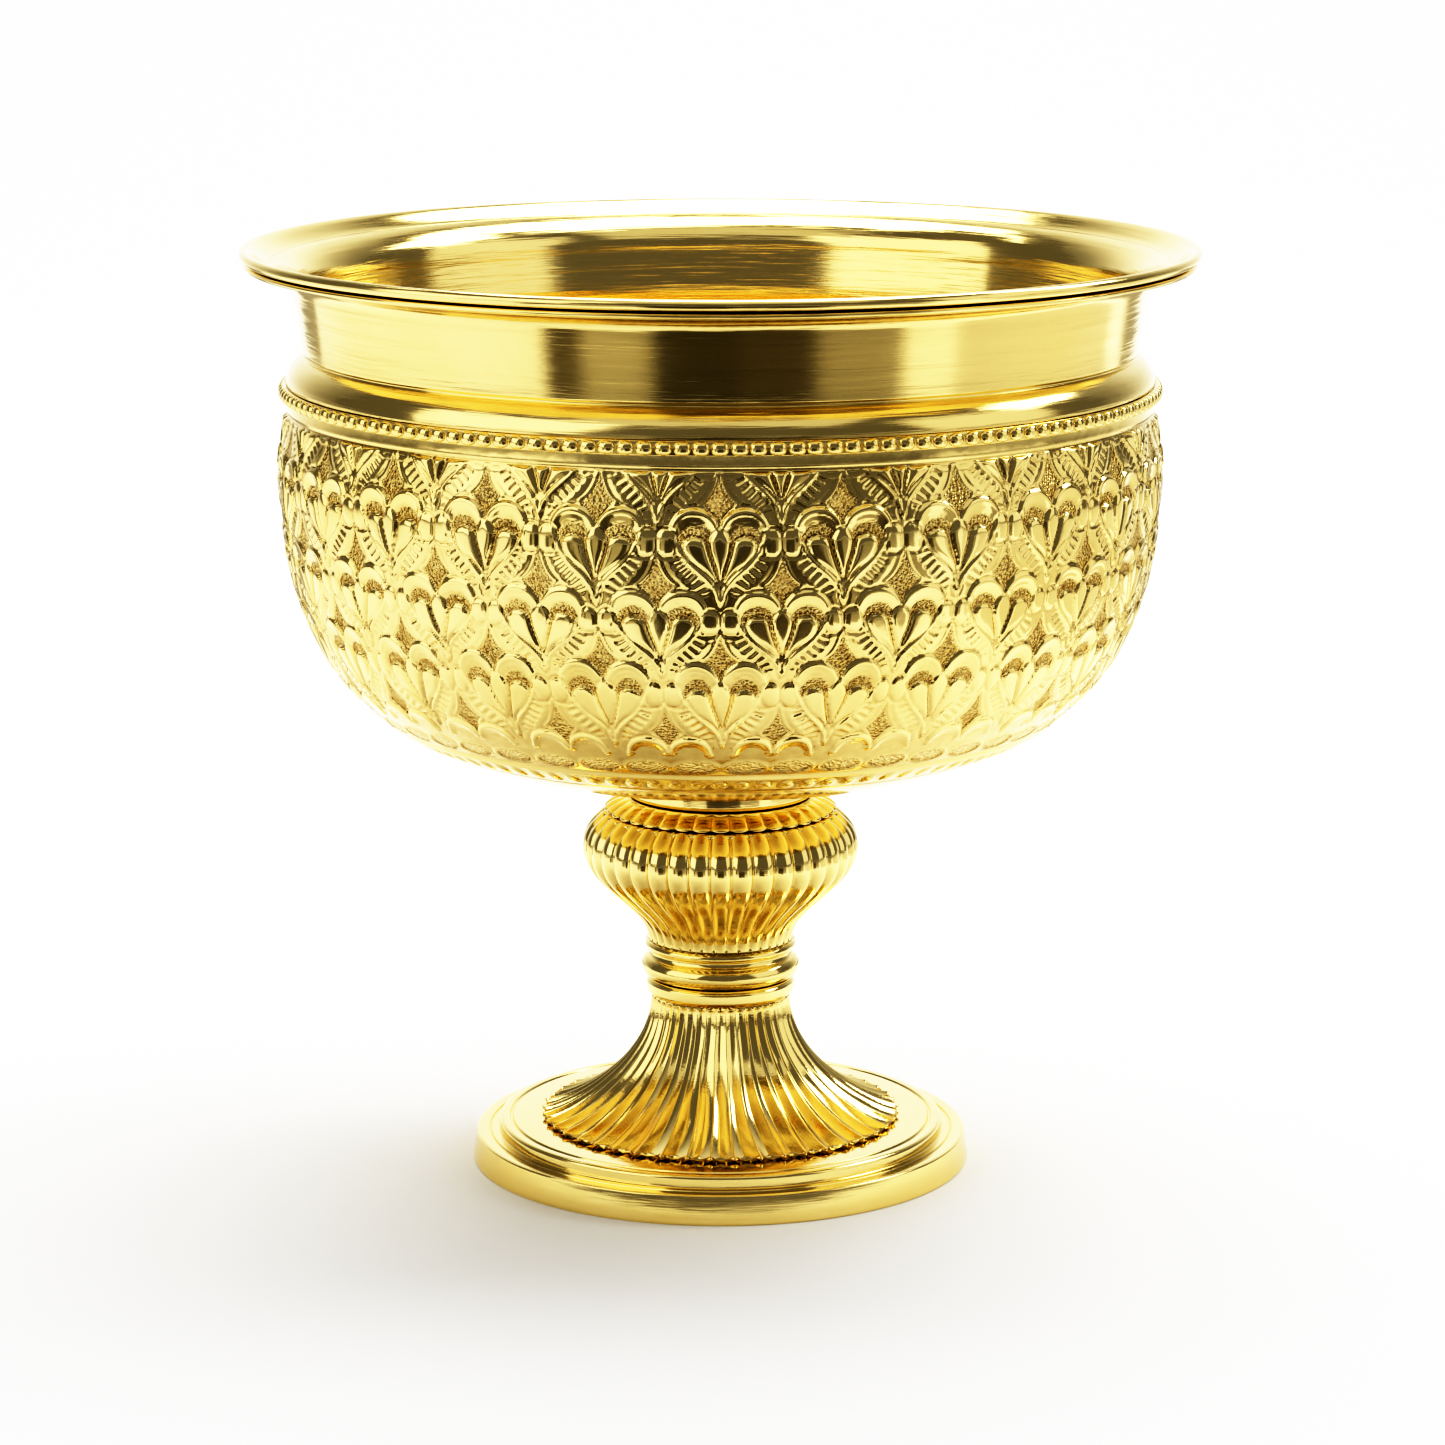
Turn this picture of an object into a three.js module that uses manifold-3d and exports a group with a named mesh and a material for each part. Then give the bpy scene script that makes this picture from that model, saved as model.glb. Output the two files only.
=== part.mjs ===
// Footed brass urli bowl: a chased sheet-brass bowl on a fluted pedestal, clamped by one central tie rod.
// Units are millimetres, +Z is up, and the origin is the centre of the ring that stands on the table.

import * as THREE from 'three';
import { mergeVertices } from 'three/addons/utils/BufferGeometryUtils.js';
import Module from 'manifold-3d';

const wasm = await Module();
wasm.setup();

// ---------------------------------------------------------------- driving dimensions

const JOINT_GAP = 0.3;          // solder film or clearance between two pieces that meet
const ROUND_SIDES = 48;         // sides of the large turned and spun rings
const SMALL_SIDES = 24;         // sides of the hardware and the stem rings

const BASE = {
  radius: 67.7,                 // foot print on the table
  bandHeight: 8,                // upright outer band
  bandDraft: 1.1,               // how much narrower the band is at its top
  bandWall: 4.2,
  edgeRound: 0.9,
  ledgeWidth: 7.3,              // from the foot print in to the raised step
  stepHeight: 3.4,
  stepRound: 1,
  stepWidth: 2.6,               // step edge to the scribed groove
  grooveWidth: 1.2,
  grooveDepth: 0.6,
  flatWidth: 7.6,               // groove to the hem of the foot
  plateThickness: 3.2,
  footSeat: 11,                 // plate left under the foot, from its hem inwards
};

const FOOT = {
  height: 34,
  hemThickness: 1.2,
  hemReach: 11,                 // length of the low slope at the hem
  hemRise: 0.2,
  throatRadius: 18.8,
  throatReach: 18,              // length of the upright stretch at the throat
  wall: 2.2,
  flangeThickness: 3,
  flutes: 45,
  fluteDepth: 1,
};

const FERRULE = {
  stand: 1.4,                   // how far it stands out over the throat of the foot
  height: 4.4,
  edgeRound: 0.8,
};

const COLLAR = {
  torusStand: 1.4,              // over the ferrule
  torusHeight: 6.2,
  waistDepth: 2.3,
  waistHeight: 1.6,
  lipStand: 1.1,                // over the waist
  lipHeight: 2,
};

const KNOP = {
  radius: 37.3,                 // widest, over the lobes
  lipSetback: 0.7,              // throat of the knop inside the collar's lip
  lowerHeight: 25.6,            // collar to widest
  upperHeight: 10.2,            // widest to the cap seam
  seamInset: 5.7,               // widest radius to the seam radius
  throatReach: 9.8,
  bellyReach: 10.5,
  shoulderReach: 6.3,
  wall: 3,
  lobes: 38,
  lobeDepth: 1.1,
  seatWidth: 6,                 // flat that the cap rests on
};

const CAP = {
  height: 4,
  edgeReach: 2.2,
  topReach: 3.6,
  wall: 2.4,
  lobeDepth: 0.5,
};

const SEAT = {
  radius: 25.4,
  overhang: 0.8,                // over the top of the cap
  height: 5.1,
  edgeRound: 0.9,
};

const GASKET = {
  thickness: 1.3,
  setback: 1.4,                 // inside the edge of the seat
};

const BOWL = {
  radius: 117.4,                // widest, near the top of the chased wall
  depth: 103.7,                 // underside of the floor to the seam under the beads
  bellyRise: 83.8,              // underside of the floor to the widest level
  sideReach: 40,                // how far the side stays upright
  floorMargin: 0.6,             // flat round of the floor outside the seat
  floorInset: 11.9,             // where the floor would meet the upright side, inside the widest radius
  seamInset: 2.3,
  sheet: 1.5,
};

const BEADS = {
  stand: 2.2,                   // over the seam
  height: 3.8,
};

const NECK = {
  shoulderHeight: 9.1,          // seam to the crease at the foot of the neck
  shoulderRound: 2.6,
  creaseDepth: 4.4,             // inside the seam
  height: 18.2,
  lean: 2.3,                    // how much wider the neck is at its top
  flareWidth: 12.9,
  flareHeight: 5.3,
  flareRound: 3.7,
};

const RIM = {
  overhang: 1.1,                // over the edge of the flare
  thickness: 2.9,
  width: 7.4,
  innerThickness: 0.9,
  rise: 0.2,                    // slope of the flare and the rim ring towards the edge
};

const ROD = {
  radius: 4,                    // M8 tie rod
  holeClearance: 0.4,
  tail: 3,                      // thread left below the nut
  chamfer: 0.6,
};

const NUT = {
  acrossFlats: 13,
  height: 6.5,
  domeHeight: 6,
  domeInset: 0.4,
};

const WASHER = {
  thickness: 1.6,
  crownRadius: 13,              // brass washer inside the bowl
  footClearance: 3,             // steel washer inside the throat of the foot
  springRadius: 7.4,
  springGap: 1.4,               // split in the spring washer
};

// ---------------------------------------------------------------- sizes that follow from them

const rodBore = ROD.radius + ROD.holeClearance;
const stepRadius = BASE.radius - BASE.ledgeWidth;
const grooveOuter = stepRadius - BASE.stepWidth;
const grooveInner = grooveOuter - BASE.grooveWidth;
const hemRadius = grooveInner - BASE.flatWidth;
const ferruleRadius = FOOT.throatRadius + FERRULE.stand;
const torusRadius = ferruleRadius + COLLAR.torusStand;
const waistRadius = torusRadius - COLLAR.waistDepth;
const lipRadius = waistRadius + COLLAR.lipStand;
const collarHeight = COLLAR.torusHeight + COLLAR.waistHeight + COLLAR.lipHeight;
const knopSeamRadius = KNOP.radius - KNOP.seamInset;
const knopHeight = KNOP.lowerHeight + KNOP.upperHeight;
const capTopRadius = SEAT.radius - SEAT.overhang;
const bowlSeamRadius = BOWL.radius - BOWL.seamInset;
const creaseRadius = bowlSeamRadius - NECK.creaseDepth;
const neckTopRadius = creaseRadius + NECK.lean;
const flareRadius = neckTopRadius + NECK.flareWidth;
const rimRadius = flareRadius + RIM.overhang;

// Levels up the stack, each piece one joint gap above the piece that it stands on.
const footLevel = BASE.bandHeight + BASE.stepHeight + JOINT_GAP;
const footTop = footLevel + FOOT.height;
const ferruleLevel = footTop + JOINT_GAP;
const collarLevel = ferruleLevel + FERRULE.height + JOINT_GAP;
const knopLevel = collarLevel + collarHeight + JOINT_GAP;
const capLevel = knopLevel + knopHeight + JOINT_GAP;
const seatLevel = capLevel + CAP.height + JOINT_GAP;
const gasketLevel = seatLevel + SEAT.height + JOINT_GAP;
const bowlLevel = gasketLevel + GASKET.thickness + JOINT_GAP;
const seamLevel = bowlLevel + BOWL.depth;
const neckLevel = seamLevel + JOINT_GAP;
const creaseLevel = neckLevel + NECK.shoulderHeight;
const flareLevel = creaseLevel + NECK.height;
const rimLevel = flareLevel + NECK.flareHeight + BOWL.sheet + JOINT_GAP;

// Fastenings: downwards inside the foot, upwards inside the bowl.
const footWasherTop = footTop - FOOT.flangeThickness - JOINT_GAP;
const springTop = footWasherTop - WASHER.thickness - JOINT_GAP;
const nutTop = springTop - WASHER.thickness - JOINT_GAP;
const crownLevel = bowlLevel + BOWL.sheet + JOINT_GAP;
const domeNutLevel = crownLevel + WASHER.thickness + JOINT_GAP;
const rodBottom = nutTop - NUT.height - ROD.tail;
const rodTop = domeNutLevel + NUT.height;

// ---------------------------------------------------------------- materials

function brass(colour, roughness) {
  return new THREE.MeshStandardMaterial({ color: colour, roughness, metalness: 1 });
}

const brushedBrass = () => brass(0xd9b23f, 0.3);
const chasedBrass = () => brass(0xdcb848, 0.22);
const polishedBrass = () => brass(0xd8ae34, 0.12);
const steel = () => new THREE.MeshStandardMaterial({ color: 0xa9abad, roughness: 0.35, metalness: 1 });
const rubber = () => new THREE.MeshStandardMaterial({ color: 0x2a2522, roughness: 0.85, metalness: 0 });

// ---------------------------------------------------------------- outline helpers

// A point of an outline: radius from the axis, and height.
function at(radius, height) {
  return new THREE.Vector2(radius, height);
}

function bezier(start, startHandle, endHandle, end, steps) {
  return new THREE.CubicBezierCurve(start, startHandle, endHandle, end).getPoints(steps);
}

// An arc round a centre, with its angles in degrees, from outwards towards up.
function arc(centre, radius, fromDegrees, toDegrees, steps) {
  return Array.from({ length: steps + 1 }, (_, i) => {
    const angle = THREE.MathUtils.degToRad(fromDegrees + ((toDegrees - fromDegrees) * i) / steps);
    return at(centre.x + radius * Math.cos(angle), centre.y + radius * Math.sin(angle));
  });
}

// The same outline moved sideways by a wall thickness, to the left of its direction of travel.
function offset(outline, distance) {
  const last = outline.length - 1;
  return outline.map((point, i) => {
    const arriving = i > 0 ? point.clone().sub(outline[i - 1]).normalize() : null;
    const leaving = i < last ? outline[i + 1].clone().sub(point).normalize() : null;
    const first = arriving ?? leaving;
    const second = leaving ?? arriving;
    const tangent = first.clone().add(second).normalize();
    const shift = distance / tangent.dot(first);
    return at(point.x - tangent.y * shift, point.y + tangent.x * shift);
  });
}

// Marks the points of an outline that get a groove between every two lobes.
function grooved(outline, depth) {
  outline.forEach((point) => {
    point.groove = depth;
  });
  return outline;
}

// The outline as a closed loop that runs anticlockwise, which turns into faces that point out.
function closedLoop(outline) {
  const area = THREE.ShapeUtils.area(outline);
  const loop = area > 0 ? [...outline] : [...outline].reverse();
  return [...loop, loop[0]];
}

// ---------------------------------------------------------------- solids

// A ring turned about Z from an outline that stays clear of the axis.
function turned(outline, sides) {
  return new THREE.LatheGeometry(closedLoop(outline), sides).rotateX(Math.PI / 2);
}

// A ring of convex lobes: every second column of points is a groove, as deep as its outline point asks.
function lobed(outline, lobes) {
  const loop = closedLoop(outline);
  const geometry = turned(outline, lobes * 2);
  const position = geometry.attributes.position;
  for (let i = 0; i < position.count; i += 1) {
    const column = Math.floor(i / loop.length);
    const { x: radius, groove = 0 } = loop[i % loop.length];
    const share = column % 2 === 0 ? 1 - groove / radius : 1;
    position.setXY(i, position.getX(i) * share, position.getY(i) * share);
  }
  geometry.computeVertexNormals();
  return geometry;
}

// A body turned about Z from an outline that rises from one point on the axis to another.
function turnedSolid(outline, sides) {
  return new THREE.LatheGeometry(outline, sides).rotateX(Math.PI / 2);
}

function flatRing(outerRadius, bottom, height) {
  const outline = [
    at(rodBore, bottom),
    at(outerRadius, bottom),
    at(outerRadius, bottom + height),
    at(rodBore, bottom + height),
  ];
  return turned(outline, SMALL_SIDES);
}

function cylinder(radius, bottom, top) {
  return turnedSolid([at(0, bottom), at(radius, bottom), at(radius, top), at(0, top)], SMALL_SIDES / 2);
}

// An upright hexagonal prism.
function hexPrism(acrossFlats, bottom, height) {
  const cornerRadius = acrossFlats / 2 / Math.cos(Math.PI / 6);
  return new THREE.CylinderGeometry(cornerRadius, cornerRadius, height, 6)
    .rotateX(Math.PI / 2)
    .translate(0, 0, bottom + height / 2);
}

function toManifold(geometry) {
  const bare = geometry.clone();
  bare.deleteAttribute('normal');
  bare.deleteAttribute('uv');
  const merged = mergeVertices(bare);
  return new wasm.Manifold(new wasm.Mesh({
    numProp: 3,
    vertProperties: new Float32Array(merged.attributes.position.array),
    triVerts: new Uint32Array(merged.index.array),
  }));
}

function fromManifold(solid) {
  const { vertProperties, triVerts } = solid.getMesh();
  const geometry = new THREE.BufferGeometry();
  geometry.setAttribute('position', new THREE.BufferAttribute(vertProperties, 3));
  geometry.setIndex(new THREE.BufferAttribute(triVerts, 1));
  geometry.computeVertexNormals();
  return geometry;
}

// ---------------------------------------------------------------- pedestal

// Turned base: upright band, ledge, raised step, scribed groove, and the flat that the foot stands on.
function basePlate() {
  const top = BASE.bandHeight + BASE.stepHeight;
  const under = top - BASE.plateThickness;
  const bandTop = BASE.radius - BASE.bandDraft;
  const bandInner = BASE.radius - BASE.bandWall;
  const bore = hemRadius - BASE.footSeat;
  const outline = [
    at(BASE.radius, 0),
    ...arc(at(bandTop - BASE.edgeRound, BASE.bandHeight - BASE.edgeRound), BASE.edgeRound, 0, 90, 2),
    at(stepRadius, BASE.bandHeight),
    ...arc(at(stepRadius - BASE.stepRound, top - BASE.stepRound), BASE.stepRound, 0, 90, 2),
    at(grooveOuter, top),
    at((grooveOuter + grooveInner) / 2, top - BASE.grooveDepth),
    at(grooveInner, top),
    at(bore, top),
    at(bore, under),
    at(grooveOuter, under),
    at(bandInner, BASE.bandHeight - BASE.plateThickness),
    at(bandInner, 0),
  ];
  return turned(outline, ROUND_SIDES);
}

// Trumpet foot: a fluted skirt that spreads to a scalloped hem, with a top flange that the nut pulls on.
function flaredFoot() {
  const hem = at(hemRadius, footLevel + FOOT.hemThickness);
  const hemHandle = at(hem.x - FOOT.hemReach, hem.y + FOOT.hemReach * FOOT.hemRise);
  const throat = at(FOOT.throatRadius, footTop);
  const skirt = bezier(hem, hemHandle, at(throat.x, throat.y - FOOT.throatReach), throat, 8);
  const flangeLevel = footTop - FOOT.flangeThickness;
  const lining = offset(skirt, FOOT.wall)
    .filter((point) => point.y > footLevel + FOOT.wall / 2 && point.y < flangeLevel - FOOT.wall)
    .filter((_, i) => i % 2 === 0);
  const outline = [
    ...grooved([at(hemRadius, footLevel), ...skirt], FOOT.fluteDepth),
    at(rodBore, footTop),
    at(rodBore, flangeLevel),
    at(throat.x - FOOT.wall - FOOT.fluteDepth, flangeLevel),
    ...lining.reverse(),
    at(hemRadius - FOOT.wall * 2, footLevel),
  ];
  return lobed(outline, FOOT.flutes);
}

// Plain band that hides the upper ends of the flutes.
function ferrule() {
  const round = FERRULE.edgeRound;
  const top = ferruleLevel + FERRULE.height;
  const outline = [
    at(rodBore, ferruleLevel),
    ...arc(at(ferruleRadius - round, ferruleLevel + round), round, -90, 0, 2),
    ...arc(at(ferruleRadius - round, top - round), round, 0, 90, 2),
    at(rodBore, top),
  ];
  return turned(outline, SMALL_SIDES);
}

// Turned collar: a full torus, a waist, and a lip that cups the knop.
function collar() {
  const torus = COLLAR.torusHeight / 2;
  const waistTop = collarLevel + COLLAR.torusHeight + COLLAR.waistHeight;
  const top = collarLevel + collarHeight;
  const outline = [
    at(rodBore, collarLevel),
    ...arc(at(torusRadius - torus, collarLevel + torus), torus, -90, 70, 5),
    at(waistRadius, waistTop),
    at(lipRadius, top - COLLAR.lipHeight / 3),
    at(lipRadius, top),
    at(rodBore, top),
  ];
  return turned(outline, SMALL_SIDES);
}

// Gadrooned bulb, cast hollow, open at the top under its cap.
function knop() {
  const throat = at(lipRadius - KNOP.lipSetback, knopLevel);
  const widest = at(KNOP.radius, knopLevel + KNOP.lowerHeight);
  const seam = at(knopSeamRadius, knopLevel + knopHeight);
  const throatHandle = at(throat.x, throat.y + KNOP.throatReach);
  const lower = bezier(throat, throatHandle, at(widest.x, widest.y - KNOP.bellyReach), widest, 6);
  const shoulderHandle = at(widest.x, widest.y + KNOP.shoulderReach);
  const upper = bezier(widest, shoulderHandle, at(seam.x + CAP.edgeReach, seam.y - CAP.edgeReach), seam, 3);
  const outside = [...lower, ...upper.slice(1)];
  const floor = knopLevel + KNOP.wall;
  const seat = at(seam.x - KNOP.seatWidth, seam.y);
  const lining = offset(outside, KNOP.wall)
    .filter((point) => point.y > floor + KNOP.wall / 2 && point.y < seat.y - KNOP.wall)
    .filter((_, i) => i % 2 === 0);
  const outline = [
    at(rodBore, knopLevel),
    ...grooved(outside, KNOP.lobeDepth),
    seat,
    ...lining.reverse(),
    at(throat.x - KNOP.wall - KNOP.lobeDepth, floor),
    at(rodBore, floor),
  ];
  return lobed(outline, KNOP.lobes);
}

// Domed cap that closes the knop, with the lobes carried on shallowly.
function knopCap() {
  const edge = at(knopSeamRadius, capLevel);
  const top = at(capTopRadius, capLevel + CAP.height);
  const edgeHandle = at(edge.x - CAP.edgeReach, edge.y + CAP.edgeReach);
  const dome = bezier(edge, edgeHandle, at(top.x + CAP.topReach, top.y - CAP.topReach / 3), top, 3);
  const outline = [
    at(edge.x - KNOP.seatWidth, capLevel),
    ...grooved(dome.slice(0, -1), CAP.lobeDepth),
    top,
    at(rodBore, top.y),
    at(rodBore, top.y - CAP.wall),
    at(edge.x - KNOP.seatWidth - CAP.wall, top.y - CAP.wall),
  ];
  return lobed(outline, KNOP.lobes);
}

// Plain ring between the knop and the bowl.
function seatRing() {
  const round = SEAT.edgeRound;
  const top = seatLevel + SEAT.height;
  const outline = [
    at(rodBore, seatLevel),
    ...arc(at(SEAT.radius - round, seatLevel + round), round, -90, 0, 2),
    ...arc(at(SEAT.radius - round, top - round), round, 0, 90, 2),
    at(rodBore, top),
  ];
  return turned(outline, SMALL_SIDES);
}

// ---------------------------------------------------------------- bowl

// Chased bowl: flat floor, one long curve up the side, and a plain upright edge behind the beads.
function bellyShell() {
  const floor = at(SEAT.radius + BOWL.floorMargin, bowlLevel);
  const widest = at(BOWL.radius, bowlLevel + BOWL.bellyRise);
  const floorHandle = at(BOWL.radius - BOWL.floorInset, bowlLevel);
  const side = bezier(floor, floorHandle, at(widest.x, widest.y - BOWL.sideReach), widest, 10);
  const outside = [
    at(rodBore, bowlLevel),
    ...side,
    at(bowlSeamRadius, seamLevel - BEADS.height / 2),
    at(bowlSeamRadius, seamLevel),
  ];
  const lining = offset(outside, BOWL.sheet);
  lining[0].x = rodBore;
  return turned([...outside, ...lining.reverse()], ROUND_SIDES);
}

// Half-round moulding soldered over the seam; its beads are struck along this ring.
function beadRing() {
  const back = bowlSeamRadius + JOINT_GAP;
  const depth = bowlSeamRadius + BEADS.stand - back;
  const middle = seamLevel + JOINT_GAP / 2;
  const nose = arc(at(0, 0), 1, -90, 90, 4)
    .map((point) => at(back + point.x * depth, middle + (point.y * BEADS.height) / 2));
  return turned(nose, ROUND_SIDES);
}

// Spun neck: shoulder, crease, upright band, and the flare that carries the rim.
function neckShell() {
  const skirtTop = neckLevel + BEADS.height / 2;
  const crease = at(creaseRadius, creaseLevel);
  const neckTop = at(neckTopRadius, flareLevel);
  const flare = at(flareRadius, flareLevel + NECK.flareHeight);
  const skirt = at(bowlSeamRadius, skirtTop);
  const skirtHandle = at(bowlSeamRadius, skirtTop + NECK.shoulderRound);
  const creaseHandle = at(crease.x + 2 * BOWL.sheet, crease.y - BOWL.sheet);
  const shoulder = bezier(skirt, skirtHandle, creaseHandle, crease, 3);
  const coveHandle = at(neckTop.x, neckTop.y + NECK.flareRound);
  const flareHandle = at(flare.x - RIM.width, flare.y - RIM.width * RIM.rise);
  const cove = bezier(neckTop, coveHandle, flareHandle, flare, 5);
  const outside = [
    at(bowlSeamRadius, neckLevel),
    ...shoulder,
    at(crease.x, crease.y + BOWL.sheet),
    at(crease.x + NECK.lean / 3, crease.y + NECK.height / 2),
    ...cove,
  ];
  const lining = offset(outside, BOWL.sheet);
  lining[lining.length - 1].x = flare.x;
  return turned([...outside, ...lining.reverse()], ROUND_SIDES);
}

// Heavy rim: a turned ring with a round nose, soldered on top of the flare.
function rimRing() {
  const nose = RIM.thickness / 2;
  const inner = rimRadius - RIM.width;
  const noseCentre = at(rimRadius - nose, rimLevel + nose);
  const innerLevel = rimLevel - (RIM.width - nose) * RIM.rise;
  const outline = [
    at(inner, innerLevel),
    ...arc(noseCentre, nose, -90, 90, 4),
    at(inner, innerLevel + RIM.innerThickness),
  ];
  return turned(outline, ROUND_SIDES);
}

// ---------------------------------------------------------------- tie rod and fastenings

function tieRod() {
  const outline = [
    at(0, rodBottom),
    at(ROD.radius - ROD.chamfer, rodBottom),
    at(ROD.radius, rodBottom + ROD.chamfer),
    at(ROD.radius, rodTop - ROD.chamfer),
    at(ROD.radius - ROD.chamfer, rodTop),
    at(0, rodTop),
  ];
  return turnedSolid(outline, SMALL_SIDES / 2);
}

// Acorn nut inside the bowl: a hexagon under a dome, with a blind bore for the rod.
function domeNut() {
  const radius = NUT.acrossFlats / 2 - NUT.domeInset;
  const base = domeNutLevel + NUT.height;
  const quarter = arc(at(0, 0), 1, 0, 80, 4)
    .map((point) => at(point.x * radius, base + point.y * NUT.domeHeight));
  const domeFoot = domeNutLevel + NUT.height / 2;
  const dome = [at(0, domeFoot), at(radius, domeFoot), ...quarter, at(0, base + NUT.domeHeight)];
  const bore = cylinder(ROD.radius + JOINT_GAP, domeNutLevel - 1, rodTop + JOINT_GAP);
  const body = toManifold(hexPrism(NUT.acrossFlats, domeNutLevel, NUT.height))
    .add(toManifold(turnedSolid(dome, SMALL_SIDES / 2)))
    .subtract(toManifold(bore));
  return fromManifold(body);
}

function hexNut() {
  const bottom = nutTop - NUT.height;
  const bore = cylinder(ROD.radius + JOINT_GAP, bottom - 1, nutTop + 1);
  const body = toManifold(hexPrism(NUT.acrossFlats, bottom, NUT.height)).subtract(toManifold(bore));
  return fromManifold(body);
}

// Split spring washer: a ring with one narrow gap.
function springWasher() {
  const bottom = springTop - WASHER.thickness;
  const ring = toManifold(flatRing(WASHER.springRadius, bottom, WASHER.thickness));
  const slot = new THREE.BoxGeometry(WASHER.springRadius * 2, WASHER.springGap, WASHER.thickness * 2)
    .translate(WASHER.springRadius, 0, bottom + WASHER.thickness / 2);
  return fromManifold(ring.subtract(toManifold(slot)));
}

function footWasher() {
  const radius = FOOT.throatRadius - FOOT.wall - WASHER.footClearance;
  return flatRing(radius, footWasherTop - WASHER.thickness, WASHER.thickness);
}

// ---------------------------------------------------------------- assembly

function part(name, geometry, material) {
  const mesh = new THREE.Mesh(geometry, material);
  mesh.name = name;
  return mesh;
}

const pedestal = new THREE.Group();
pedestal.add(
  part('base_plate', basePlate(), brushedBrass()),
  part('flared_foot', flaredFoot(), polishedBrass()),
  part('foot_ferrule', ferrule(), polishedBrass()),
  part('collar_ring', collar(), polishedBrass()),
  part('knop', knop(), polishedBrass()),
  part('knop_cap', knopCap(), polishedBrass()),
  part('seat_ring', seatRing(), polishedBrass()),
);

const bowl = new THREE.Group();
bowl.add(
  part('floor_gasket', flatRing(SEAT.radius - GASKET.setback, gasketLevel, GASKET.thickness), rubber()),
  part('belly_shell', bellyShell(), chasedBrass()),
  part('bead_ring', beadRing(), polishedBrass()),
  part('neck_shell', neckShell(), brushedBrass()),
  part('rim_ring', rimRing(), brushedBrass()),
);

const fastenings = new THREE.Group();
fastenings.add(
  part('tie_rod', tieRod(), steel()),
  part('crown_washer', flatRing(WASHER.crownRadius, crownLevel, WASHER.thickness), polishedBrass()),
  part('dome_nut', domeNut(), polishedBrass()),
  part('foot_washer', footWasher(), steel()),
  part('spring_washer', springWasher(), steel()),
  part('hex_nut', hexNut(), steel()),
);

const urli = new THREE.Group();
urli.add(pedestal, bowl, fastenings);

export default urli;
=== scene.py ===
"""Looks of the footed brass urli bowl: a chased bowl on a fluted pedestal, on a pale studio sweep."""

import math

import bpy
import numpy as np
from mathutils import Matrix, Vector


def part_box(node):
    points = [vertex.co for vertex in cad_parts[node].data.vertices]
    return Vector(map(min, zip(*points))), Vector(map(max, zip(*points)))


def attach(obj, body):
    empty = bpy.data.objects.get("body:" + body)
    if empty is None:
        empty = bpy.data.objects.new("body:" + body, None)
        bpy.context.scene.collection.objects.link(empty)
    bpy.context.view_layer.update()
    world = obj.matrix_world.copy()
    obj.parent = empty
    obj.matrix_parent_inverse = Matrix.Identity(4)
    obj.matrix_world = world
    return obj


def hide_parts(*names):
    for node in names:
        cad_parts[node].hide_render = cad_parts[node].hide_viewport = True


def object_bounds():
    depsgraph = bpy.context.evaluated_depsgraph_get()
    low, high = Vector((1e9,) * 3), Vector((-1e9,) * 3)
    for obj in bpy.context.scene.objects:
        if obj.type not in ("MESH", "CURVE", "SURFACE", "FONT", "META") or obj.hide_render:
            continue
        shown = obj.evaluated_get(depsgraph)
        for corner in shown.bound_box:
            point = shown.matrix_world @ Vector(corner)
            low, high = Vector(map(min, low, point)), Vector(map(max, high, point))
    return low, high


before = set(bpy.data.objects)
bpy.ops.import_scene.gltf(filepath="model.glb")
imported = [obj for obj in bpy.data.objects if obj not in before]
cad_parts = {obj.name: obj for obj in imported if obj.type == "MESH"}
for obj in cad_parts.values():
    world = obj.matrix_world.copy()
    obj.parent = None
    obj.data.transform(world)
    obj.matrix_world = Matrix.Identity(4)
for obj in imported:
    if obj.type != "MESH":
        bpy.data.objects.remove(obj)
cad_low, cad_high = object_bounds()

MM = 0.001
WIDE_COLUMNS = 480            # mesh columns round the neck, rim and base
RING_COLUMNS = 256            # round the small rings of the stem
WASHER_COLUMNS = 128
MOTIFS = 24                   # chased motifs round the bowl
MOTIF_COLUMNS = 72            # mesh columns across one motif
BEAD_COUNT = 156
LOBES = 38                    # round the knop and its cap
LOBE_COLUMNS = 20
FLUTES = 45                   # pleats round the foot
FLUTE_COLUMNS = 24
SHEET = 1.5                   # thickness of the bowl's sheet, in mm


# ---- outlines, in mm as (radius, height)

def box_of(node):
    """Largest radius, lowest level and highest level of a CAD node, in mm."""
    low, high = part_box(node)
    return high.x / MM, low.z / MM, high.z / MM


def bezier(a, b, c, d, steps=24):
    t = np.linspace(0, 1, steps + 1)[:, None]
    a, b, c, d = (np.array(p, float) for p in (a, b, c, d))
    return (1 - t) ** 3 * a + 3 * (1 - t) ** 2 * t * b + 3 * (1 - t) * t * t * c + t ** 3 * d


def fillet(before, corner, after, radius, steps=6):
    """The arc that rounds one corner of a polyline."""
    before, corner, after = (np.array(p, float) for p in (before, corner, after))
    one, two = before - corner, after - corner
    one_length, two_length = np.linalg.norm(one), np.linalg.norm(two)
    one, two = one / one_length, two / two_length
    half = math.acos(max(-1.0, min(1.0, float(one @ two)))) / 2
    if half > math.radians(88):
        return corner[None, :]
    reach = min(radius / math.tan(half), 0.49 * one_length, 0.49 * two_length)
    start, end = corner + one * reach, corner + two * reach
    t = np.linspace(0, 1, steps + 1)[:, None]
    weight = math.sin(half)
    share = (1 - t) ** 2 + 2 * weight * t * (1 - t) + t ** 2
    return ((1 - t) ** 2 * start + 2 * weight * t * (1 - t) * corner + t ** 2 * end) / share


def arc_line(centre, radius, from_angle, to_angle, steps):
    """An arc of a circle, with its angles in degrees from the outward direction."""
    turn = np.radians(np.linspace(from_angle, to_angle, steps))
    return np.array(centre) + radius * np.column_stack([np.cos(turn), np.sin(turn)])


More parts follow.
